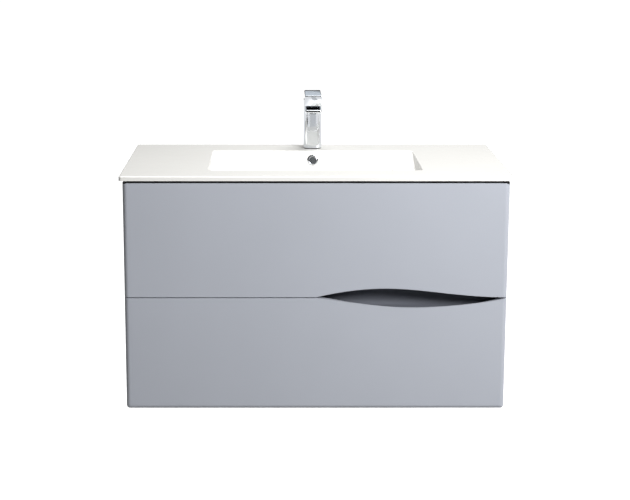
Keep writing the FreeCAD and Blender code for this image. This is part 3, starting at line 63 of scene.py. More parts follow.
def linear(code):
    """Linear RGBA of an sRGB hex colour."""
    parts = [int(code[i:i + 2], 16) / 255 for i in (1, 3, 5)]
    return [p / 12.92 if p <= 0.04045 else ((p + 0.055) / 1.055) ** 2.4 for p in parts] + [1.0]


def colour(name, code, description):
    return bpy.props.FloatVectorProperty(
        name=name, description=description, subtype="COLOR", size=4, min=0, max=1, default=linear(code))


def length(name, value, description):
    return bpy.props.FloatProperty(
        name=name, description=description, unit="LENGTH", min=0, default=value)


# ---------------------------------------------------------------- what a user would change


class VANITY_PG_colours(bpy.types.PropertyGroup):
    lacquer: colour("Lacquer", "#B3B7C0", "Satin lacquer of the fronts and the sides")
    # The grip channel's grey is darker than the lacquer: partly a dark powder coat, partly painted shade for
    # the recess behind the fronts.
    channel: colour("Grip channel", "#666971", "Powder coat of the grip channel behind the fronts")
    melamine: colour("Melamine", "#ECECE8", "Melamine faces of the inner boards")
    glaze: colour("Glaze", "#F6F5F1", "Glaze of the washbasin")
    chrome: colour("Chrome", "#D5D8DC", "Chrome plating of the tap, the overflow ring and the waste")
    zinc: colour("Zinc", "#B4B7BA", "Zinc plating of the runners, the brackets and the screws")
    nickel: colour("Nickel", "#A39E95", "Nickel plating of the cams")
    plastic: colour("Grey plastic", "#6F7377", "Moulded plastic of the hangers' cases and the clips")
    polypropylene: colour("White plastic", "#E4E6E5", "Moulded polypropylene of the trap")
    rubber: colour("Rubber", "#0B0B0B", "Rubber of the seals")
    brass: colour("Brass", "#C9A866", "Turned brass of the nuts")


class VANITY_PG_sizes(bpy.types.PropertyGroup):
    floor_drop: length("Floor drop", 0.26, "How far the floor lies below the cabinet")
    lattice_pitch: length("Lattice pitch", 0.0042, "Distance between the bars of the overflow's lattice")
    edge_band: length("Edge band", 0.0004, "How far the drawers' edge bands stand proud of their boards")
    bumper: length("Bumper", 0.0024, "Thickness of the soft dots that the fronts close on")


# ---------------------------------------------------------------- materials


def blank(name):
    """A node material with nothing in it yet."""
    made = bpy.data.materials.new(name)
    made.use_nodes = True
    made.node_tree.nodes.clear()
    return made


def add(material, kind, settings=None, inputs=None):
    """Adds a node, sets its properties, and sets or links its inputs."""
    tree = material.node_tree
    node = tree.nodes.new(kind)
    for name, value in (settings or {}).items():
        setattr(node, name, value)
    for name, value in (inputs or {}).items():
        if isinstance(value, bpy.types.NodeSocket):
            tree.links.new(value, node.inputs[name])
        else:
            node.inputs[name].default_value = value
    return node


def own_place(material):
    """Coordinates that stay with the object, in metres."""
    return add(material, "ShaderNodeTexCoord").outputs["Object"]


def skinned(material, inputs):
    """Ends a material in one principled shader with these inputs."""
    skin = add(material, "ShaderNodeBsdfPrincipled", inputs=inputs)
    add(material, "ShaderNodeOutputMaterial", inputs={"Surface": skin.outputs["BSDF"]})
    return material


def shade(rgba, share):
    """The same colour, lighter or darker by a share."""
    return [min(1.0, part * share) for part in rgba[:3]] + [1.0]


def per_metre(millimetres):
    """The scale of a pattern whose features are this large."""
    return 1000 / millimetres


def satin_lacquer(rgba):
    """Medium-density board, sprayed with satin lacquer: an even skin with a soft broad sheen, a colour that
    drifts a little from pass to pass of the gun, and a fine orange peel."""
    made = blank("satin_lacquer_sprayed_board")
    place = own_place(made)
    passes = add(made, "ShaderNodeTexNoise", inputs={"Vector": place, "Scale": per_metre(220), "Detail": 2.0})
    tint = add(made, "ShaderNodeMixRGB", inputs={
        "Fac": passes.outputs["Fac"], "Color1": shade(rgba, 0.97), "Color2": shade(rgba, 1.03)})
    mist = add(made, "ShaderNodeTexNoise", inputs={"Vector": place, "Scale": per_metre(60), "Detail": 3.0})
    sheen = add(made, "ShaderNodeMapRange", inputs={
        "Value": mist.outputs["Fac"], "To Min": 0.36, "To Max": 0.46})
    peel = add(made, "ShaderNodeTexNoise", inputs={"Vector": place, "Scale": per_metre(2.4), "Detail": 2.0})
    bump = add(made, "ShaderNodeBump", inputs={
        "Height": peel.outputs["Fac"], "Distance": 0.02 * MM, "Strength": 0.5})
    return skinned(made, {
        "Base Color": tint.outputs["Color"], "Roughness": sheen.outputs["Result"],
        "Normal": bump.outputs["Normal"], "IOR": 1.5, "Specular IOR Level": 0.35})


def powder_coat_and_painted_shade(rgba):
    """Extruded aluminium, powder-coated and stoved: a matt dark grey with the even dimples of melted powder.
    The grey is set darker than the fronts' lacquer. That is partly the coat's own colour and partly painted
    shade for the recess behind the fronts."""
    made = blank("powder_coated_aluminium_profile")
    place = own_place(made)
    dimples = add(made, "ShaderNodeTexNoise", inputs={
        "Vector": place, "Scale": per_metre(1.1), "Detail": 2.0})
    tint = add(made, "ShaderNodeMixRGB", inputs={
        "Fac": dimples.outputs["Fac"], "Color1": shade(rgba, 0.9), "Color2": shade(rgba, 1.1)})
    bump = add(made, "ShaderNodeBump", inputs={
        "Height": dimples.outputs["Fac"], "Distance": 0.05 * MM, "Strength": 0.6})
    return skinned(made, {
        "Base Color": tint.outputs["Color"], "Roughness": 0.62, "Normal": bump.outputs["Normal"], "IOR": 1.5,
        "Specular IOR Level": 0.15})


def melamine(rgba):
    """Particle board faced with melamine-soaked paper, pressed against a textured plate: white, low in gloss,
    with a shallow pearl grain and paper fibres that show as faint flecks."""
    made = blank("melamine_pressed_on_particle_board")
    place = own_place(made)
    fibres = add(made, "ShaderNodeTexNoise", inputs={"Vector": place, "Scale": per_metre(7), "Detail": 6.0})
    tint = add(made, "ShaderNodeMixRGB", inputs={
        "Fac": fibres.outputs["Fac"], "Color1": shade(rgba, 0.95), "Color2": shade(rgba, 1.03)})
    pearl = add(made, "ShaderNodeTexVoronoi", inputs={"Vector": place, "Scale": per_metre(1.3)})
    bump = add(made, "ShaderNodeBump", inputs={
        "Height": pearl.outputs["Distance"], "Distance": 0.05 * MM, "Strength": 0.6})
    sheen = add(made, "ShaderNodeMapRange", inputs={
        "Value": fibres.outputs["Fac"], "To Min": 0.42, "To Max": 0.55})
    return skinned(made, {
        "Base Color": tint.outputs["Color"], "Roughness": sheen.outputs["Result"],
        "Normal": bump.outputs["Normal"], "IOR": 1.5})


def vitreous_glaze(rgba):
    """Vitreous china, cast in a plaster mould, glazed and fired: a deep wet gloss over white clay, with the
    slow waves that glaze keeps from running in the kiln and a few pinpoint specks."""
    made = blank("vitreous_china_glazed_and_fired")
    place = own_place(made)
    cloud = add(made, "ShaderNodeTexNoise", inputs={"Vector": place, "Scale": per_metre(160), "Detail": 3.0})
    tint = add(made, "ShaderNodeMixRGB", inputs={
        "Fac": cloud.outputs["Fac"], "Color1": shade(rgba, 0.975), "Color2": shade(rgba, 1.01)})
    speck = add(made, "ShaderNodeTexVoronoi", inputs={"Vector": place, "Scale": per_metre(26)})
    pin = add(made, "ShaderNodeMapRange", inputs={
        "Value": speck.outputs["Distance"], "From Min": 0.010, "From Max": 0.022})
    fired = add(made, "ShaderNodeMixRGB", inputs={
        "Fac": pin.outputs["Result"], "Color1": shade(rgba, 0.72), "Color2": tint.outputs["Color"]})
    waves = add(made, "ShaderNodeTexNoise", inputs={"Vector": place, "Scale": per_metre(34), "Detail": 1.0})
    bump = add(made, "ShaderNodeBump", inputs={
        "Height": waves.outputs["Fac"], "Distance": 0.25 * MM, "Strength": 0.5})
    return skinned(made, {
        "Base Color": fired.outputs["Color"], "Roughness": 0.09, "Normal": bump.outputs["Normal"],
        "IOR": 1.52, "Coat Weight": 0.4, "Coat Roughness": 0.04})


def chrome_plate(rgba):
    """Cast brass, polished and chrome-plated: a near mirror with a cool cast, dulled in soft patches where
    water has dried on it."""
    made = blank("chrome_plated_polished_brass")
    place = own_place(made)
    dried = add(made, "ShaderNodeTexNoise", inputs={"Vector": place, "Scale": per_metre(11), "Detail": 4.0})
    dull = add(made, "ShaderNodeMapRange", inputs={
        "Value": dried.outputs["Fac"], "From Min": 0.45, "From Max": 0.75, "To Min": 0.035, "To Max": 0.13})
    waves = add(made, "ShaderNodeTexNoise", inputs={"Vector": place, "Scale": per_metre(9), "Detail": 1.0})
    bump = add(made, "ShaderNodeBump", inputs={
        "Height": waves.outputs["Fac"], "Distance": 0.10 * MM, "Strength": 0.5})
    tint = add(made, "ShaderNodeMixRGB", inputs={
        "Fac": dried.outputs["Fac"], "Color1": rgba, "Color2": shade(rgba, 0.93)})
    return skinned(made, {
        "Base Color": tint.outputs["Color"], "Metallic": 1.0, "Roughness": dull.outputs["Result"],
        "Normal": bump.outputs["Normal"]})


def zinc_plate(rgba):
    """Cold-rolled strip, stamped and bright zinc-plated: a grey metal with a blurred shine, faint lines along
    the rolling direction and cloudy passivation."""
    made = blank("steel_strip_zinc_plated")
    place = own_place(made)
    cloud = add(made, "ShaderNodeTexNoise", inputs={"Vector": place, "Scale": per_metre(14), "Detail": 4.0})
    tint = add(made, "ShaderNodeMixRGB", inputs={
        "Fac": cloud.outputs["Fac"], "Color1": shade(rgba, 0.82), "Color2": shade(rgba, 1.06)})
    dull = add(made, "ShaderNodeMapRange", inputs={
        "Value": cloud.outputs["Fac"], "To Min": 0.24, "To Max": 0.44})
    drawn = add(made, "ShaderNodeMapping", inputs={"Vector": place, "Scale": (1.0, 0.04, 1.0)})
    lines = add(made, "ShaderNodeTexNoise", inputs={
        "Vector": drawn.outputs["Vector"], "Scale": per_metre(0.9), "Detail": 3.0})
    bump = add(made, "ShaderNodeBump", inputs={
        "Height": lines.outputs["Fac"], "Distance": 0.03 * MM, "Strength": 0.6})
    return skinned(made, {
        "Base Color": tint.outputs["Color"], "Metallic": 1.0, "Roughness": dull.outputs["Result"],
        "Normal": bump.outputs["Normal"]})


def nickel_casting(rgba):
    """Zinc alloy, die-cast and nickel-plated: a warm grey metal, satin, with the fine sandy skin of the
    die."""
    made = blank("zinc_alloy_die_cast_nickel_plated")
    place = own_place(made)
    sand = add(made, "ShaderNodeTexNoise", inputs={"Vector": place, "Scale": per_metre(0.8), "Detail": 4.0})
    tint = add(made, "ShaderNodeMixRGB", inputs={
        "Fac": sand.outputs["Fac"], "Color1": shade(rgba, 0.85), "Color2": shade(rgba, 1.08)})
    bump = add(made, "ShaderNodeBump", inputs={
        "Height": sand.outputs["Fac"], "Distance": 0.05 * MM, "Strength": 0.7})
    return skinned(made, {
        "Base Color": tint.outputs["Color"], "Metallic": 1.0, "Roughness": 0.36,
        "Normal": bump.outputs["Normal"]})


def grained_plastic(rgba):
    """Glass-filled polyamide, moulded in a spark-eroded tool: a matt grey with an even leathery grain."""
    made = blank("polyamide_moulded_grained")
    place = own_place(made)
    grain = add(made, "ShaderNodeTexVoronoi", inputs={"Vector": place, "Scale": per_metre(0.9)})
    flow = add(made, "ShaderNodeTexNoise", inputs={"Vector": place, "Scale": per_metre(12), "Detail": 3.0})
    tint = add(made, "ShaderNodeMixRGB", inputs={
        "Fac": flow.outputs["Fac"], "Color1": shade(rgba, 0.9), "Color2": shade(rgba, 1.1)})
    bump = add(made, "ShaderNodeBump", inputs={
        "Height": grain.outputs["Distance"], "Distance": 0.08 * MM, "Strength": 0.5})
    return skinned(made, {
        "Base Color": tint.outputs["Color"], "Roughness": 0.55, "Normal": bump.outputs["Normal"], "IOR": 1.5})


def white_polypropylene(rgba):
    """Polypropylene, injection-moulded: a waxy white that lets a little light in, glossy with soft sink
    marks."""
    made = blank("polypropylene_injection_moulded")
    place = own_place(made)
    flow = add(made, "ShaderNodeTexNoise", inputs={"Vector": place, "Scale": per_metre(18), "Detail": 3.0})
    tint = add(made, "ShaderNodeMixRGB", inputs={
        "Fac": flow.outputs["Fac"], "Color1": shade(rgba, 0.94), "Color2": shade(rgba, 1.03)})
    bump = add(made, "ShaderNodeBump", inputs={
        "Height": flow.outputs["Fac"], "Distance": 0.20 * MM, "Strength": 0.4})
    return skinned(made, {
        "Base Color": tint.outputs["Color"], "Roughness": 0.27, "Normal": bump.outputs["Normal"], "IOR": 1.49,
        "Subsurface Weight": 0.15, "Subsurface Scale": 2 * MM})


def seal_rubber(rgba):
    """Rubber, moulded under heat: matt black with a bloom of grey dust in its fine grain."""
    made = blank("rubber_moulded")
    place = own_place(made)
    bloom = add(made, "ShaderNodeTexNoise", inputs={"Vector": place, "Scale": per_metre(3), "Detail": 5.0})
    tint = add(made, "ShaderNodeMixRGB", inputs={
        "Fac": bloom.outputs["Fac"], "Color1": rgba, "Color2": shade(rgba, 1.9)})
    bump = add(made, "ShaderNodeBump", inputs={
        "Height": bloom.outputs["Fac"], "Distance": 0.05 * MM, "Strength": 0.6})
    return skinned(made, {
        "Base Color": tint.outputs["Color"], "Roughness": 0.78, "Normal": bump.outputs["Normal"], "IOR": 1.52,
        "Specular IOR Level": 0.2})


def turned_brass(rgba):
    """Brass bar, turned on a lathe: a warm metal, satin, with level tool marks. Real marks are about 0.1 mm
    apart, too fine to show, so they are drawn 0.7 mm apart."""
    made = blank("brass_turned")
    place = own_place(made)
    marks = add(made, "ShaderNodeTexWave", {"bands_direction": "Z"}, {
        "Vector": place, "Scale": per_metre(0.7) / 20, "Distortion": 1.5, "Detail": 2.0})
    tint = add(made, "ShaderNodeMixRGB", inputs={
        "Fac": marks.outputs["Fac"], "Color1": shade(rgba, 0.86), "Color2": shade(rgba, 1.05)})
    bump = add(made, "ShaderNodeBump", inputs={
        "Height": marks.outputs["Fac"], "Distance": 0.03 * MM, "Strength": 0.6})
    return skinned(made, {
        "Base Color": tint.outputs["Color"], "Metallic": 1.0, "Roughness": 0.26,
        "Normal": bump.outputs["Normal"]})


FINISHES = {
    "grey_lacquer": (satin_lacquer, "lacquer"),
    "grey_powder_coat": (powder_coat_and_painted_shade, "channel"),
    "white_melamine": (melamine, "melamine"),
    "glazed_ceramic": (vitreous_glaze, "glaze"),
    "chrome": (chrome_plate, "chrome"),
    "zinc_steel": (zinc_plate, "zinc"),
    "nickel_zamak": (nickel_casting, "nickel"),
    "grey_plastic": (grained_plastic, "plastic"),
    "white_plastic": (white_polypropylene, "polypropylene"),
    "black_rubber": (seal_rubber, "rubber"),
    "brass": (turned_brass, "brass"),
}
made_finishes = {}


def finish(slot):
    """The material of a slot, made the first time that it is asked for."""
    if slot not in made_finishes:
        maker, name = FINISHES[slot]
        made_finishes[slot] = maker(list(getattr(bpy.context.scene.vanity_colours, name)))
    return made_finishes[slot]


def paint(slot, *names):
    """Gives CAD nodes, whose shapes stay as they are, the finish of a slot."""
    for name in names:
        materials = NODES[name].data.materials
        materials.clear()
        materials.append(finish(slot))


# ---------------------------------------------------------------- shapes


SHARP = math.radians(38)


def piece(name, shape, slot, body, *replaced):
    """Turns a bmesh into a shown piece: smooth faces, sharp edges, the finish of a slot and a body to
    ride on."""
    bmesh.ops.recalc_face_normals(shape, faces=shape.faces)
    for face in shape.faces:
        face.smooth = True
    for edge in shape.edges:
        edge.smooth = len(edge.link_faces) != 2 or edge.calc_face_angle(0) < SHARP
    mesh = bpy.data.meshes.new(name)
    shape.to_mesh(mesh)
    shape.free()
    mesh.materials.append(finish(slot))
    made = bpy.data.objects.new(name, mesh)
    bpy.context.scene.collection.objects.link(made)
    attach(made, body)
    if replaced:
        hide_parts(*replaced)
    return made


def place_at(centre, direction):
    """Where a shape lies whose own Z points along a direction."""
    turn = Vector(direction).to_track_quat("Z", "Y").to_matrix().to_4x4()
    return Matrix.Translation(Vector(centre)) @ turn


def softened(outline, radius, steps=4):
    """A closed outline with its corners rounded. A corner on the axis stays as it is."""
    result = []
    for i, here in enumerate(outline):
        corner = Vector(here)
        back = Vector(outline[i - 1]) - corner
        on = Vector(outline[(i + 1) % len(outline)]) - corner
        if corner.x == 0:
            result.append(corner)
            continue
        start = corner + back.normalized() * min(radius, 0.45 * back.length)
        end = corner + on.normalized() * min(radius, 0.45 * on.length)
        for k in range(steps + 1):
            t = k / steps
            result.append(start * (1 - t) ** 2 + corner * 2 * t * (1 - t) + end * t * t)
    return result


def bridge(shape, low, high):
    """Faces between two rings of vertices; a ring of one vertex is a point on the axis."""
    count = max(len(low), len(high))
    for i in range(count):
        j = (i + 1) % count
        corners = [low[i % len(low)], low[j % len(low)], high[j % len(high)], high[i % len(high)]]
        corners = list(dict.fromkeys(corners))
        if len(corners) > 2:
            shape.faces.new(corners)


def turned(shape, outline, place, sides=96, grow=None):
    """Turns a closed outline of (radius, height) points about a place's Z. grow(angle, radius) changes the
    radius round the axis, for ribs or a shaped recess."""
    rings = []
    for radius, height in outline:
        ring = []
        for i in range(sides if radius > 0 else 1):
            angle = 2 * math.pi * i / sides
            reach = grow(angle, radius) if grow and radius > 0 else radius
            point = Vector((reach * math.cos(angle), reach * math.sin(angle), height))
            ring.append(shape.verts.new(place @ point))
        rings.append(ring)
    closed = len(rings[0]) > 1 or len(rings[-1]) > 1
    for low, high in zip(rings, rings[1:] + rings[:1] if closed else rings[1:]):
        bridge(shape, low, high)


def rounded_rectangle(width, depth, corner, steps=8):
    """The outline of a rectangle about the origin with round corners."""
    points = []
    for quarter in range(4):
        middle_x = (width / 2 - corner) * (1 if quarter in (0, 3) else -1)
        middle_y = (depth / 2 - corner) * (1 if quarter in (0, 1) else -1)
        for k in range(steps + 1):
            angle = (quarter + k / steps) * math.pi / 2
            points.append((middle_x + corner * math.cos(angle), middle_y + corner * math.sin(angle)))
    return points


def lofted(shape, sections):
    """A closed skin over a row of sections, which are equal-sized lists of points."""
    rings = [[shape.verts.new(point) for point in section] for section in sections]
    for low, high in zip(rings, rings[1:]):
        bridge(shape, low, high)
    shape.faces.new(rings[0])
    shape.faces.new(rings[-1])


def block(shape, low, high, soft):
    """A box between two corners whose edges are rounded."""
    size = [b - a for a, b in zip(low, high)]
    centre = [(a + b) / 2 for a, b in zip(low, high)]
    thin = min(size)
    soft = min(soft, 0.4 * thin)
    levels = ((0, soft), (0.3 * soft, 0.3 * soft), (soft, 0), (size[2] - soft, 0),
              (size[2] - 0.3 * soft, 0.3 * soft), (size[2], soft))
    sections = []
    for height, inset in levels:
        corner = max(soft - inset, 0.2 * soft)
        outline = rounded_rectangle(size[0] - 2 * inset, size[1] - 2 * inset, corner, 3)
        sections.append([Vector((centre[0] + x, centre[1] + y, low[2] + height)) for x, y in outline])
    lofted(shape, sections)


def lattice(shape, radius, pitch, bar, place, low, high):
    """Bars that cross at right angles inside a ring."""
    reach = int(radius / pitch)
    for quarter_turn in (0, 1):
        turn = place @ Matrix.Rotation(math.radians(45 + 90 * quarter_turn), 4, "Z")
        for i in range(-reach, reach + 1):
            half = math.sqrt(max(radius ** 2 - (i * pitch) ** 2, 0))
            if half < bar:
                continue
            first = len(shape.verts)
            block(shape, (-half, i * pitch - bar / 2, low), (half, i * pitch + bar / 2, high), bar / 4)
            shape.verts.ensure_lookup_table()
            for vertex in shape.verts[first:]:
                vertex.co = turn @ vertex.co


def islands(node):
    """The boxes of the separate solids in a CAD node, as (lowest corner, highest corner)."""
    mesh = bmesh.new()
    mesh.from_mesh(NODES[node].data)
    bmesh.ops.remove_doubles(mesh, verts=mesh.verts, dist=0.01 * MM)
    waiting = set(mesh.verts)
    boxes = []
    while waiting:
        group = [waiting.pop()]
        for vertex in group:
            for edge in vertex.link_edges:
                other = edge.other_vert(vertex)
                if other in waiting:
                    waiting.remove(other)
                    group.append(other)
        low = Vector([min(v.co[i] for v in group) for i in range(3)])
        high = Vector([max(v.co[i] for v in group) for i in range(3)])
        boxes.append((low, high))
    mesh.free()

    def corners(box):
        return tuple(round(value, 5) for value in (*box[0], *box[1]))

    return sorted(boxes, key=corners)


def cross(angle, arm, half_width):
    """How far a cross-shaped recess reaches at an angle."""
    c = max(abs(math.cos(angle)), 1e-6)
    s = max(abs(math.sin(angle)), 1e-6)
    return max(min(arm / c, half_width / s), min(half_width / c, arm / s))


def recessed_head(shape, place, radius, height, depth):
    """A round head with a rounded rim and a cross recess for a screwdriver. Its own Z points out of the
    head."""
    arm = 0.55 * radius
    outline = [(0, -depth), (arm * 0.8, -depth), (arm, 0), (arm * 1.1, 0.0), (radius * 0.86, 0),
               (radius, -0.3 * height), (radius, -height), (0, -height)]

    def recess(angle, reach):
        if reach > arm:
            return reach
        return cross(angle, reach, 0.32 * reach)

    turned(shape, outline, place, 48, recess)


# ---------------------------------------------------------------- pieces


class VANITY_OT_boards(bpy.types.Operator):
    """Lacquered panels, inner boards and every other part whose shape stays as it is"""
    bl_idname = "vanity.boards"
    bl_label = "Boards and plain parts"

    def execute(self, context):
        for entry in frame["record"]["subparts"]:
            paint(entry["material_slot"], entry["node"])
        return {"FINISHED"}


class VANITY_OT_overflow(bpy.types.Operator):
    """Ring and lattice of the overflow, and behind them a black cup that is painted shade for the dark
    overflow hole
    """
    bl_idname = "vanity.overflow"
    bl_label = "Overflow"

    def execute(self, context):
        low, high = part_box("overflow_ring")
        radius = (high.x - low.x) / 2
        sleeve = radius - 5.1 * MM
        depth = 12 * MM
        lean = math.radians(9.46)  # the slope of the bowl's rear wall
        outwards = Vector((0, -math.cos(lean), math.sin(lean)))
        face = Vector((0, high.y - depth * math.cos(lean) - sleeve * math.sin(lean),
                       low.z + radius * math.cos(lean)))
        place = place_at(face, outwards)
        ring = bmesh.new()
        turned(ring, softened([
            (sleeve - 1.2 * MM, -depth), (sleeve, -depth), (sleeve, 0), (radius, 0), (radius, 1.3 * MM),
            (radius - 2 * MM, 2.8 * MM), (sleeve, 3.1 * MM), (sleeve - 1.2 * MM, 2.0 * MM),
        ], 0.8 * MM), place)
        piece("overflow_ring_flange", ring, "chrome", "cabinet", "overflow_ring")
        grid = bmesh.new()
        pitch = context.scene.vanity_sizes.lattice_pitch
        lattice(grid, sleeve - 1.3 * MM, pitch, 1.0 * MM, place, -2.2 * MM, -0.6 * MM)
        piece("overflow_lattice", grid, "grey_plastic", "cabinet")
        # A black cup that closes the overflow behind the lattice: painted shade in place of the dark hole.
        shade_cup = bmesh.new()
        turned(shade_cup, [
            (0, -11 * MM), (0, -10 * MM), (sleeve - 1.9 * MM, -10 * MM), (sleeve - 1.9 * MM, -0.5 * MM),
            (sleeve - 1.25 * MM, -0.5 * MM), (sleeve - 1.25 * MM, -11 * MM)], place, 48)
        piece("overflow_passage", shade_cup, "black_rubber", "cabinet")
        return {"FINISHED"}


class VANITY_OT_tap_body(bpy.types.Operator):
    """Column and spout of the tap, with the aerator's screen"""
    bl_idname = "vanity.tap_body"
    bl_label = "Tap body"

    def execute(self, context):
        low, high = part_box("tap_body")
        seal_low, seal_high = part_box("tap_base_seal")
        lip_low, lip_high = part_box("tap_aerator")
        middle_y = (seal_low.y + seal_high.y) / 2
        size = 2 * high.x
        corner = 14 * MM
        body = bmesh.new()
        sections = []
        # (inset, height above the foot) in millimetres: a soft foot, a faint waist and a soft rim
        for inset, height in (
            (1.2, 0), (0.5, 0.15), (0.12, 0.6), (0, 1.2), (0.1, 30), (0.15, 70), (0.1, 110),
            (0, 136.2), (0.2, 137.1), (0.8, 137.8), (1.6, 138),
        ):
            side = size - 2 * inset * MM
            outline = rounded_rectangle(side, side, corner - inset * MM, 10)
            sections.append([Vector((x, middle_y + y, low.z + height * MM)) for x, y in outline])
        # the cartridge stands in an open bore
        cartridge_low, cartridge_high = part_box("tap_cartridge")
        bore = cartridge_high.x + 0.2 * MM
        chamfer = 0.6 * MM
        rim = sections[-1][0].z
        floor = cartridge_low.z - 0.3 * MM
        for reach, height in ((bore + chamfer, rim), (bore, rim - chamfer), (bore, floor)):
            ring = []
            for point in sections[-1]:
                angle = math.atan2(point.y - middle_y, point.x)
                ring.append(Vector((reach * math.cos(angle), middle_y + reach * math.sin(angle), height)))
            sections.append(ring)
        lofted(body, sections)
        # the spout starts inside the column's wall and narrows to a flat nose
        nose = low.y
        top_back = high.z
        spout_width = 45 * MM
        thick_back = 36 * MM
        top_drop = 16 * MM
        bottom_rise = 11 * MM
        sections = []
        # (share of the way to the nose, inset in millimetres)
        for t, end_inset in (
            (0.2, 0), (0.27, 0), (0.34, 0), (0.5, 0), (0.66, 0), (0.8, 0), (0.9, 0), (0.955, 0),
            (0.985, 0.5), (0.996, 1.3), (1.0, 2.4),
        ):
            y = middle_y + (nose - middle_y) * t
            top = top_back - top_drop * t
            bottom = top_back - thick_back + bottom_rise * min(1, max(0, (t - 0.2) / 0.8))
            height = top - bottom
            inset = end_inset * MM
            outline = rounded_rectangle(
                spout_width - 2 * inset, height - 2 * inset, min(3.2 * MM, height / 3), 5)
            sections.append([Vector((x, y, (top + bottom) / 2 + z)) for x, z in outline])
        lofted(body, sections)
        piece("tap_column_and_spout", body, "chrome", "cabinet", "tap_body")
        screen = bmesh.new()
        radius = (lip_high.x - lip_low.x) / 2
        place = place_at(((lip_low.x + lip_high.x) / 2, (lip_low.y + lip_high.y) / 2, lip_low.z), (0, 0, -1))
        turned(screen, softened([
            (radius - 4 * MM, -7.8 * MM), (radius, -7.8 * MM), (radius, -1.5 * MM), (radius - 1.5 * MM, 0),
            (radius - 3 * MM, 0), (radius - 4 * MM, -1.2 * MM)], 0.5 * MM), place)
        lattice(screen, radius - 3.9 * MM, 2.2 * MM, 0.6 * MM, place, -2.6 * MM, -1.6 * MM)
        piece("tap_aerator_screen", screen, "grey_plastic", "cabinet", "tap_aerator")
        return {"FINISHED"}


class VANITY_OT_tap_lever(bpy.types.Operator):
    """Hollow lever of the tap, deep at its front"""
    bl_idname = "vanity.tap_lever"
    bl_label = "Tap lever"

    def execute(self, context):
        low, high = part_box("tap_lever")
        _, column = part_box("tap_body")
        pin_low, pin_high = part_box("tap_pivot_pin")
        pivot = (pin_low + pin_high) / 2
        half = high.x
        wall = 4 * MM
        round_off = 3 * MM
        tip, tail = low.y, high.y
        lip_low = column.z - 6 * MM
        lip_high = lip_low + 29 * MM
        knee = pivot.y - 36 * MM
        under = column.z + 4 * MM
        rear_top = column.z + 22 * MM

        def underside(y):
            if y < knee:
                return lip_low + (under - lip_low) * (y - tip) / (knee - tip)
            rise = max(0, (y - pivot.y - 4 * MM) / (tail - pivot.y - 4 * MM))
            return under + 8 * MM * rise

        def top(y):
            return lip_high + (rear_top - lip_high) * (y - tip) / (tail - tip)

        def section(y, inset, hollow):
            """Up the left side, over the top, down the right side and back through the hollow."""
            left = half - inset * MM
            foot = underside(y) + inset * MM * 0.6
            roof = top(y) - inset * MM
            cavity = roof - wall if hollow else foot + 0.4 * MM
            inner = left - wall if hollow else left - wall - 2 * MM
            points = [(-left + 0.7 * MM, foot), (-left, foot + 0.7 * MM)]
            for side in (-1, 1):
                for k in range(7):
                    angle = math.pi / 2 * (k / 6 if side < 0 else 1 - k / 6)
                    points.append((side * (left - round_off + round_off * math.cos(angle)),
                                   roof - round_off + round_off * math.sin(angle)))
            points += [(left, foot + 0.7 * MM), (left - 0.7 * MM, foot), (inner + 0.5 * MM, foot),
                       (inner, foot + 0.3 * MM), (inner, cavity), (-inner, cavity), (-inner, foot + 0.3 * MM),
                       (-inner - 0.5 * MM, foot)]
            return [Vector((x, y, z)) for x, z in points]

        lever = bmesh.new()
        rows = [(tip, 0.9, False), (tip + 0.1 * MM, 0.5, False), (tip + 0.35 * MM, 0.2, False),
                (tip + 0.8 * MM, 0, False), (tip + wall, 0, False), (tip + wall + 0.3 * MM, 0, True)]
        stop = pivot.y - 14 * MM
        rows += [(tip + wall + (stop - tip - wall) * t, 0, True) for t in (0.25, 0.5, 0.75, 1.0)]
        rows += [(stop + 0.3 * MM, 0, False), (pivot.y, 0, False), (pivot.y + 4 * MM, 0, False),
                 (tail - 2 * MM, 0, False), (tail - 0.8 * MM, 0.6, False), (tail - 0.2 * MM, 1.4, False),
                 (tail, 2.2, False)]
        lofted(lever, [section(*row) for row in rows])
        block(lever, (-4 * MM, pivot.y - 4.5 * MM, low.z if low.z < lip_low else lip_low),
              (4 * MM, pivot.y + 4.5 * MM, under + 3 * MM), 0.6 * MM)
        piece("tap_lever_hood", lever, "chrome", "tap_lever", "tap_lever")
        return {"FINISHED"}


class VANITY_OT_waste(bpy.types.Operator):
    """Domed cap of the waste plug"""
    bl_idname = "vanity.waste"
    bl_label = "Waste plug"

    def execute(self, context):
        low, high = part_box("waste_plug")
        radius = (high.x - low.x) / 2
        place = place_at(((low.x + high.x) / 2, (low.y + high.y) / 2, high.z), (0, 0, 1))
        plug = bmesh.new()
        dome = [(radius * math.sin(t * math.pi / 2), -4 * MM * (1 - math.cos(t * math.pi / 2)))
                for t in (0.999, 0.93, 0.85, 0.72, 0.58, 0.44, 0.3, 0.16)]
        stem, foot = 4 * MM, low.z - high.z
        collar, collar_low = 15.5 * MM, -13 * MM
        turned(plug, [
            (0, foot), (stem, foot), (stem, collar_low), (collar, collar_low), (collar, -7.2 * MM),
            (radius - 0.8 * MM, -7.0 * MM), (radius, -6.2 * MM), *dome, (0, 0)], place)
        piece("waste_plug_cap", plug, "chrome", "waste_plug", "waste_plug")
        return {"FINISHED"}


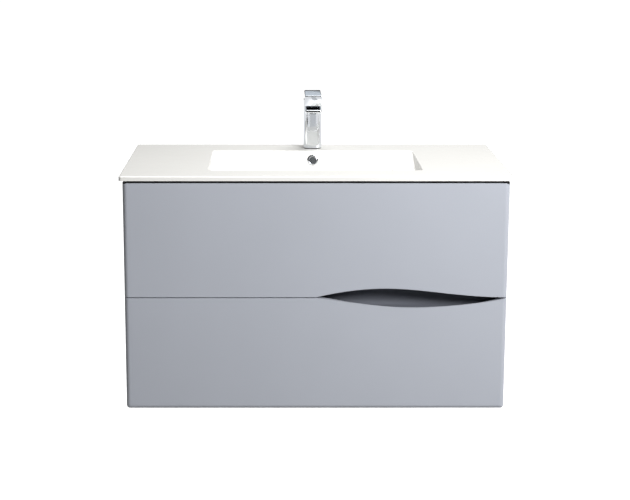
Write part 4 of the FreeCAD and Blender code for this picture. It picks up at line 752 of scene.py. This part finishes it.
class VANITY_OT_trap(bpy.types.Operator):
    """Ribbed cup and hand nuts of the bottle trap"""
    bl_idname = "vanity.trap"
    bl_label = "Trap"

    def execute(self, context):
        low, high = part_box("trap_cup")
        radius = (high.x - low.x) / 2
        tall = high.z - low.z
        place = place_at(((low.x + high.x) / 2, (low.y + high.y) / 2, low.z), (0, 0, 1))

        def grooves(count, depth, edge):
            """Finger ribs on everything that lies outside an edge."""
            def grooved(angle, reach):
                cut = depth * (0.5 - 0.5 * math.cos(count * angle)) ** 2
                return reach - (cut if reach > edge else 0)
            return grooved

        cup = bmesh.new()
        turned(cup, softened([
            (0, 0), (radius - 10 * MM, 0), (radius - 3 * MM, 5 * MM), (radius, 12 * MM),
            (radius, tall - 5 * MM), (radius - 1 * MM, tall),
            (radius - 2.9 * MM, tall), (radius - 2.9 * MM, tall - 11 * MM),
            (radius - 6 * MM, tall - 11 * MM), (radius - 6 * MM, 10 * MM), (radius - 12 * MM, 4 * MM),
            (0, 4 * MM),
        ], 2 * MM), place, 240, grooves(20, 1.1 * MM, radius - 0.6 * MM))
        piece("trap_cup_ribbed", cup, "white_plastic", "cabinet", "trap_cup")
        nuts = bmesh.new()
        for low, high in islands("trap_nuts"):
            size = [high[i] - low[i] for i in range(3)]
            axis = min(range(3), key=lambda i: size[i])
            radius = (size[0] if axis != 0 else size[1]) / 2
            direction = Vector([1 if i == axis else 0 for i in range(3)])
            start = (low + high) / 2 - direction * size[axis] / 2
            bore = radius - 9.4 * MM if radius > 25 * MM else radius - 8.6 * MM
            turned(nuts, softened([
                (bore, 0), (radius - 1.5 * MM, 0), (radius, 1.5 * MM), (radius, size[axis] - 1.5 * MM),
                (radius - 1.5 * MM, size[axis]), (bore, size[axis])], 0.8 * MM),
                place_at(start, direction), 192, grooves(16, 1.0 * MM, radius - 0.9 * MM))
        piece("trap_hand_nuts", nuts, "white_plastic", "cabinet", "trap_nuts")
        return {"FINISHED"}


class VANITY_OT_fittings(bpy.types.Operator):
    """Cams with cross recesses, the hangers' adjusting screws and the soft dots under the fronts"""
    bl_idname = "vanity.fittings"
    bl_label = "Fittings"

    def execute(self, context):
        cams = bmesh.new()
        bolts = bmesh.new()
        for low, high in islands("cam_fittings"):
            size = high - low
            middle = (low + high) / 2
            if size.x < 20 * MM:
                outward = Vector((0, 0, 1) if size.z < size.y else (0, 1, 0))
                reach = min(size.y, size.z) / 2
                place = place_at(middle + outward * reach, outward)
                recessed_head(cams, place, size.x / 2, 2 * reach, 3 * MM)
            else:
                place = place_at((low.x, middle.y, middle.z), (1, 0, 0))
                shank = size.y / 2
                turned(bolts, softened([
                    (0, 0), (shank, 0), (shank, 0.55 * size.x), (shank * 0.7, 0.6 * size.x),
                    (shank * 0.7, size.x - 2 * MM), (shank, size.x - 1.5 * MM), (shank, size.x), (0, size.x)],
                    0.5 * MM), place, 24)
        piece("cam_discs", cams, "nickel_zamak", "cabinet", "cam_fittings")
        piece("cam_bolts", bolts, "zinc_steel", "cabinet")
        adjusters = bmesh.new()
        low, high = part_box("hanger_cases")
        for side in (-1, 1):
            for height in (0.3, 0.68):
                at = (side * (high.x - 8 * MM), low.y - 0.6 * MM, low.z + (high.z - low.z) * height)
                recessed_head(adjusters, place_at(at, (0, -1, 0)), 4.6 * MM, 1.6 * MM, 1.0 * MM)
        piece("hanger_adjusters", adjusters, "zinc_steel", "cabinet")
        # A black rubber strip on top of the upper front: painted shade, a dark piece set where the gap under
        # the washbasin holds only shadow.
        lip = bmesh.new()
        low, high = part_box("upper_front")
        block(lip, (low.x + 2 * MM, low.y + 0.5 * MM, high.z - 1.8 * MM),
              (high.x - 2 * MM, high.y, high.z + 3.4 * MM), 0.6 * MM)
        piece("upper_front_dust_lip", lip, "black_rubber", "upper_drawer")
        dots = bmesh.new()
        thick = context.scene.vanity_sizes.bumper
        for panel in ("left_side_panel", "right_side_panel"):
            low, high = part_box(panel)
            for height in (0.08, 0.4, 0.6, 0.92):
                centre = ((low.x + high.x) / 2, low.y, low.z + (high.z - low.z) * height)
                turned(dots, [
                    (0, 0), (4 * MM, 0), (3.8 * MM, 0.55 * thick), (2.9 * MM, 0.88 * thick), (0, thick)],
                    place_at(centre, (0, -1, 0)), 32)
        piece("front_bumpers", dots, "white_plastic", "cabinet")
        return {"FINISHED"}


class VANITY_OT_screws(bpy.types.Operator):
    """Pan-head screws with cross recesses in the side panels"""
    bl_idname = "vanity.screws"
    bl_label = "Screws"

    def execute(self, context):
        screws = bmesh.new()
        for low, high in islands("cabinet_screws"):
            inward = -1 if low.x > 0 else 1
            head = (high.z - low.z) / 2
            tip = high.x if inward < 0 else low.x
            crown = low.x if inward < 0 else high.x
            long = abs(tip - crown)
            middle = (low + high) / 2
            place = place_at((crown, middle.y, middle.z), (inward, 0, 0))
            recessed_head(screws, place, head, 2.2 * MM, 1.2 * MM)
            shank = head * 0.5
            turned(screws, [(0, -2 * MM), (shank, -2 * MM), (shank, -long + 2 * MM), (0, -long)], place, 24)
        piece("cabinet_screws_pan_head", screws, "zinc_steel", "cabinet", "cabinet_screws")
        return {"FINISHED"}


class VANITY_OT_edge_bands(bpy.types.Operator):
    """Edge bands on top of the drawers' boards"""
    bl_idname = "vanity.edge_bands"
    bl_label = "Edge bands"

    def execute(self, context):
        proud = context.scene.vanity_sizes.edge_band
        for drawer in ("lower", "upper"):
            bands = bmesh.new()
            for part in ("left_side", "right_side", "back"):
                for low, high in islands(f"{drawer}_{part}"):
                    block(bands, (low.x, low.y, high.z - 0.2 * MM),
                          (high.x, high.y, high.z + proud), 0.3 * MM)
            piece(f"{drawer}_edge_bands", bands, "white_melamine", f"{drawer}_drawer")
        return {"FINISHED"}


class VANITY_OT_stage(bpy.types.Operator):
    """Pale floor, soft lights and the camera"""
    bl_idname = "vanity.stage"
    bl_label = "Stage"

    def execute(self, context):
        scene = context.scene
        build_floor(scene)
        build_lights(scene)
        build_cards(scene)
        build_camera(scene)
        return {"FINISHED"}


def build_floor(scene):
    """A pale floor, lit from all round so that it stays almost free of shadow."""
    mesh = bpy.data.meshes.new("floor")
    floor = bpy.data.objects.new("floor", mesh)
    scene.collection.objects.link(floor)
    disc = bmesh.new()
    bmesh.ops.create_circle(disc, cap_ends=True, segments=96, radius=30)
    disc.to_mesh(mesh)
    disc.free()
    floor.location.z = -scene.vanity_sizes.floor_drop
    pale = blank("pale_floor")
    matt = add(pale, "ShaderNodeBsdfDiffuse", inputs={"Color": linear("#F4F4F4")})
    glow = add(pale, "ShaderNodeEmission", inputs={"Color": linear("#FFFFFF"), "Strength": 1.0})
    both = add(pale, "ShaderNodeAddShader", inputs={0: matt.outputs["BSDF"], 1: glow.outputs["Emission"]})
    add(pale, "ShaderNodeOutputMaterial", inputs={"Surface": both.outputs["Shader"]})
    mesh.materials.append(pale)
    floor.visible_diffuse = False


def build_lights(scene):
    """A white world that lights little, so that two soft lamps do most of the work."""
    world = bpy.data.worlds.new("studio")
    world.use_nodes = True
    scene.world = world
    world.node_tree.nodes.clear()
    path = add(world, "ShaderNodeLightPath")
    shiny = add(world, "ShaderNodeMath", {"operation": "MULTIPLY"}, {
        0: path.outputs["Is Glossy Ray"], 1: 0.06})
    seen = add(world, "ShaderNodeMath", {"operation": "MAXIMUM"}, {
        0: path.outputs["Is Camera Ray"], 1: shiny.outputs["Value"]})
    strength = add(world, "ShaderNodeMapRange", inputs={
        "Value": seen.outputs["Value"], "To Min": 0.06, "To Max": 1.0})
    sky = add(world, "ShaderNodeBackground", inputs={
        "Color": linear("#FFFFFF"), "Strength": strength.outputs["Result"]})
    add(world, "ShaderNodeOutputWorld", inputs={"Surface": sky.outputs["Background"]})
    for name, at, aim, size, power in (
        ("key", (1.58, -2.5, 2.1), (0.1, -0.4, 0.45), 1.2, 128),
        ("top", (0.3, 0.15, 2.6), (0.1, -0.3, 0.6), 1.4, 54),
    ):
        data = bpy.data.lights.new(name, "AREA")
        data.size = size
        data.energy = power
        lamp = bpy.data.objects.new(name, data)
        lamp.location = at
        lamp.rotation_euler = (Vector(aim) - Vector(at)).to_track_quat("-Z", "Y").to_euler()
        scene.collection.objects.link(lamp)


def build_cards(scene):
    """Bright and dark cards that only polished metal shows, as a photographer sets round chrome."""
    for name, low, high, code, strength in (
        ("card_behind", (-0.45, 0.35, 0.83), (0.45, 0.35, 1.3), "#E3ECF5", 0.85),
        ("card_left", (-1.7, -1.5, 0.27), (-0.6, -2.2, 0.37), "#0C0D0E", 1.0),
        ("card_front", (-0.12, -3.2, -0.25), (0.32, -3.2, 0.62), "#DCDEE0", 1.0),
    ):
        mesh = bpy.data.meshes.new(name)
        card = bpy.data.objects.new(name, mesh)
        scene.collection.objects.link(card)
        sheet = bmesh.new()
        sheet.faces.new([sheet.verts.new(corner) for corner in (
            (low[0], low[1], low[2]), (high[0], high[1], low[2]), (high[0], high[1], high[2]),
            (low[0], low[1], high[2]))])
        sheet.to_mesh(mesh)
        sheet.free()
        lit = blank(name)
        glow = add(lit, "ShaderNodeEmission", inputs={"Color": linear(code), "Strength": strength})
        add(lit, "ShaderNodeOutputMaterial", inputs={"Surface": glow.outputs["Emission"]})
        mesh.materials.append(lit)
        card.visible_camera = False
        card.visible_diffuse = False
        card.visible_shadow = False
        card.visible_transmission = False


def build_camera(scene):
    """A long lens, shifted, that looks down a little from left of the middle."""
    data = bpy.data.cameras.new("camera")
    data.lens = 74.58
    data.sensor_width = 36
    data.shift_x = 0.0575
    data.shift_y = -0.1905
    data.clip_end = 100
    camera = bpy.data.objects.new("camera", data)
    camera.location = (-0.0954, -3.7117, 1.2813)
    camera.rotation_euler = (math.radians(90 - 9.471), 0, 0)
    scene.collection.objects.link(camera)
    scene.camera = camera
    scene.view_settings.view_transform = "Standard"


class VANITY_PT_pieces(bpy.types.Panel):
    """Lists the steps that finish the vanity"""
    bl_idname = "VANITY_PT_pieces"
    bl_label = "Vanity"
    bl_space_type = "VIEW_3D"
    bl_region_type = "UI"
    bl_category = "Vanity"

    def draw(self, context):
        for name in VANITY_PG_colours.__annotations__:
            self.layout.prop(context.scene.vanity_colours, name)
        for name in VANITY_PG_sizes.__annotations__:
            self.layout.prop(context.scene.vanity_sizes, name)
        for step in STEPS:
            self.layout.operator(step.bl_idname)


GROUPS = (VANITY_PG_colours, VANITY_PG_sizes)
STEPS = (
    VANITY_OT_boards, VANITY_OT_overflow, VANITY_OT_tap_body, VANITY_OT_tap_lever, VANITY_OT_waste,
    VANITY_OT_trap, VANITY_OT_fittings, VANITY_OT_screws, VANITY_OT_edge_bands, VANITY_OT_stage,
)


def register():
    for made in GROUPS + STEPS + (VANITY_PT_pieces,):
        bpy.utils.register_class(made)
    bpy.types.Scene.vanity_colours = bpy.props.PointerProperty(type=VANITY_PG_colours)
    bpy.types.Scene.vanity_sizes = bpy.props.PointerProperty(type=VANITY_PG_sizes)


def unregister():
    del bpy.types.Scene.vanity_sizes
    del bpy.types.Scene.vanity_colours
    for made in reversed(GROUPS + STEPS + (VANITY_PT_pieces,)):
        bpy.utils.unregister_class(made)


def main():
    register()
    for step in STEPS:
        group, name = step.bl_idname.split(".")
        getattr(getattr(bpy.ops, group), name)()


if __name__ == "__main__":
    main()
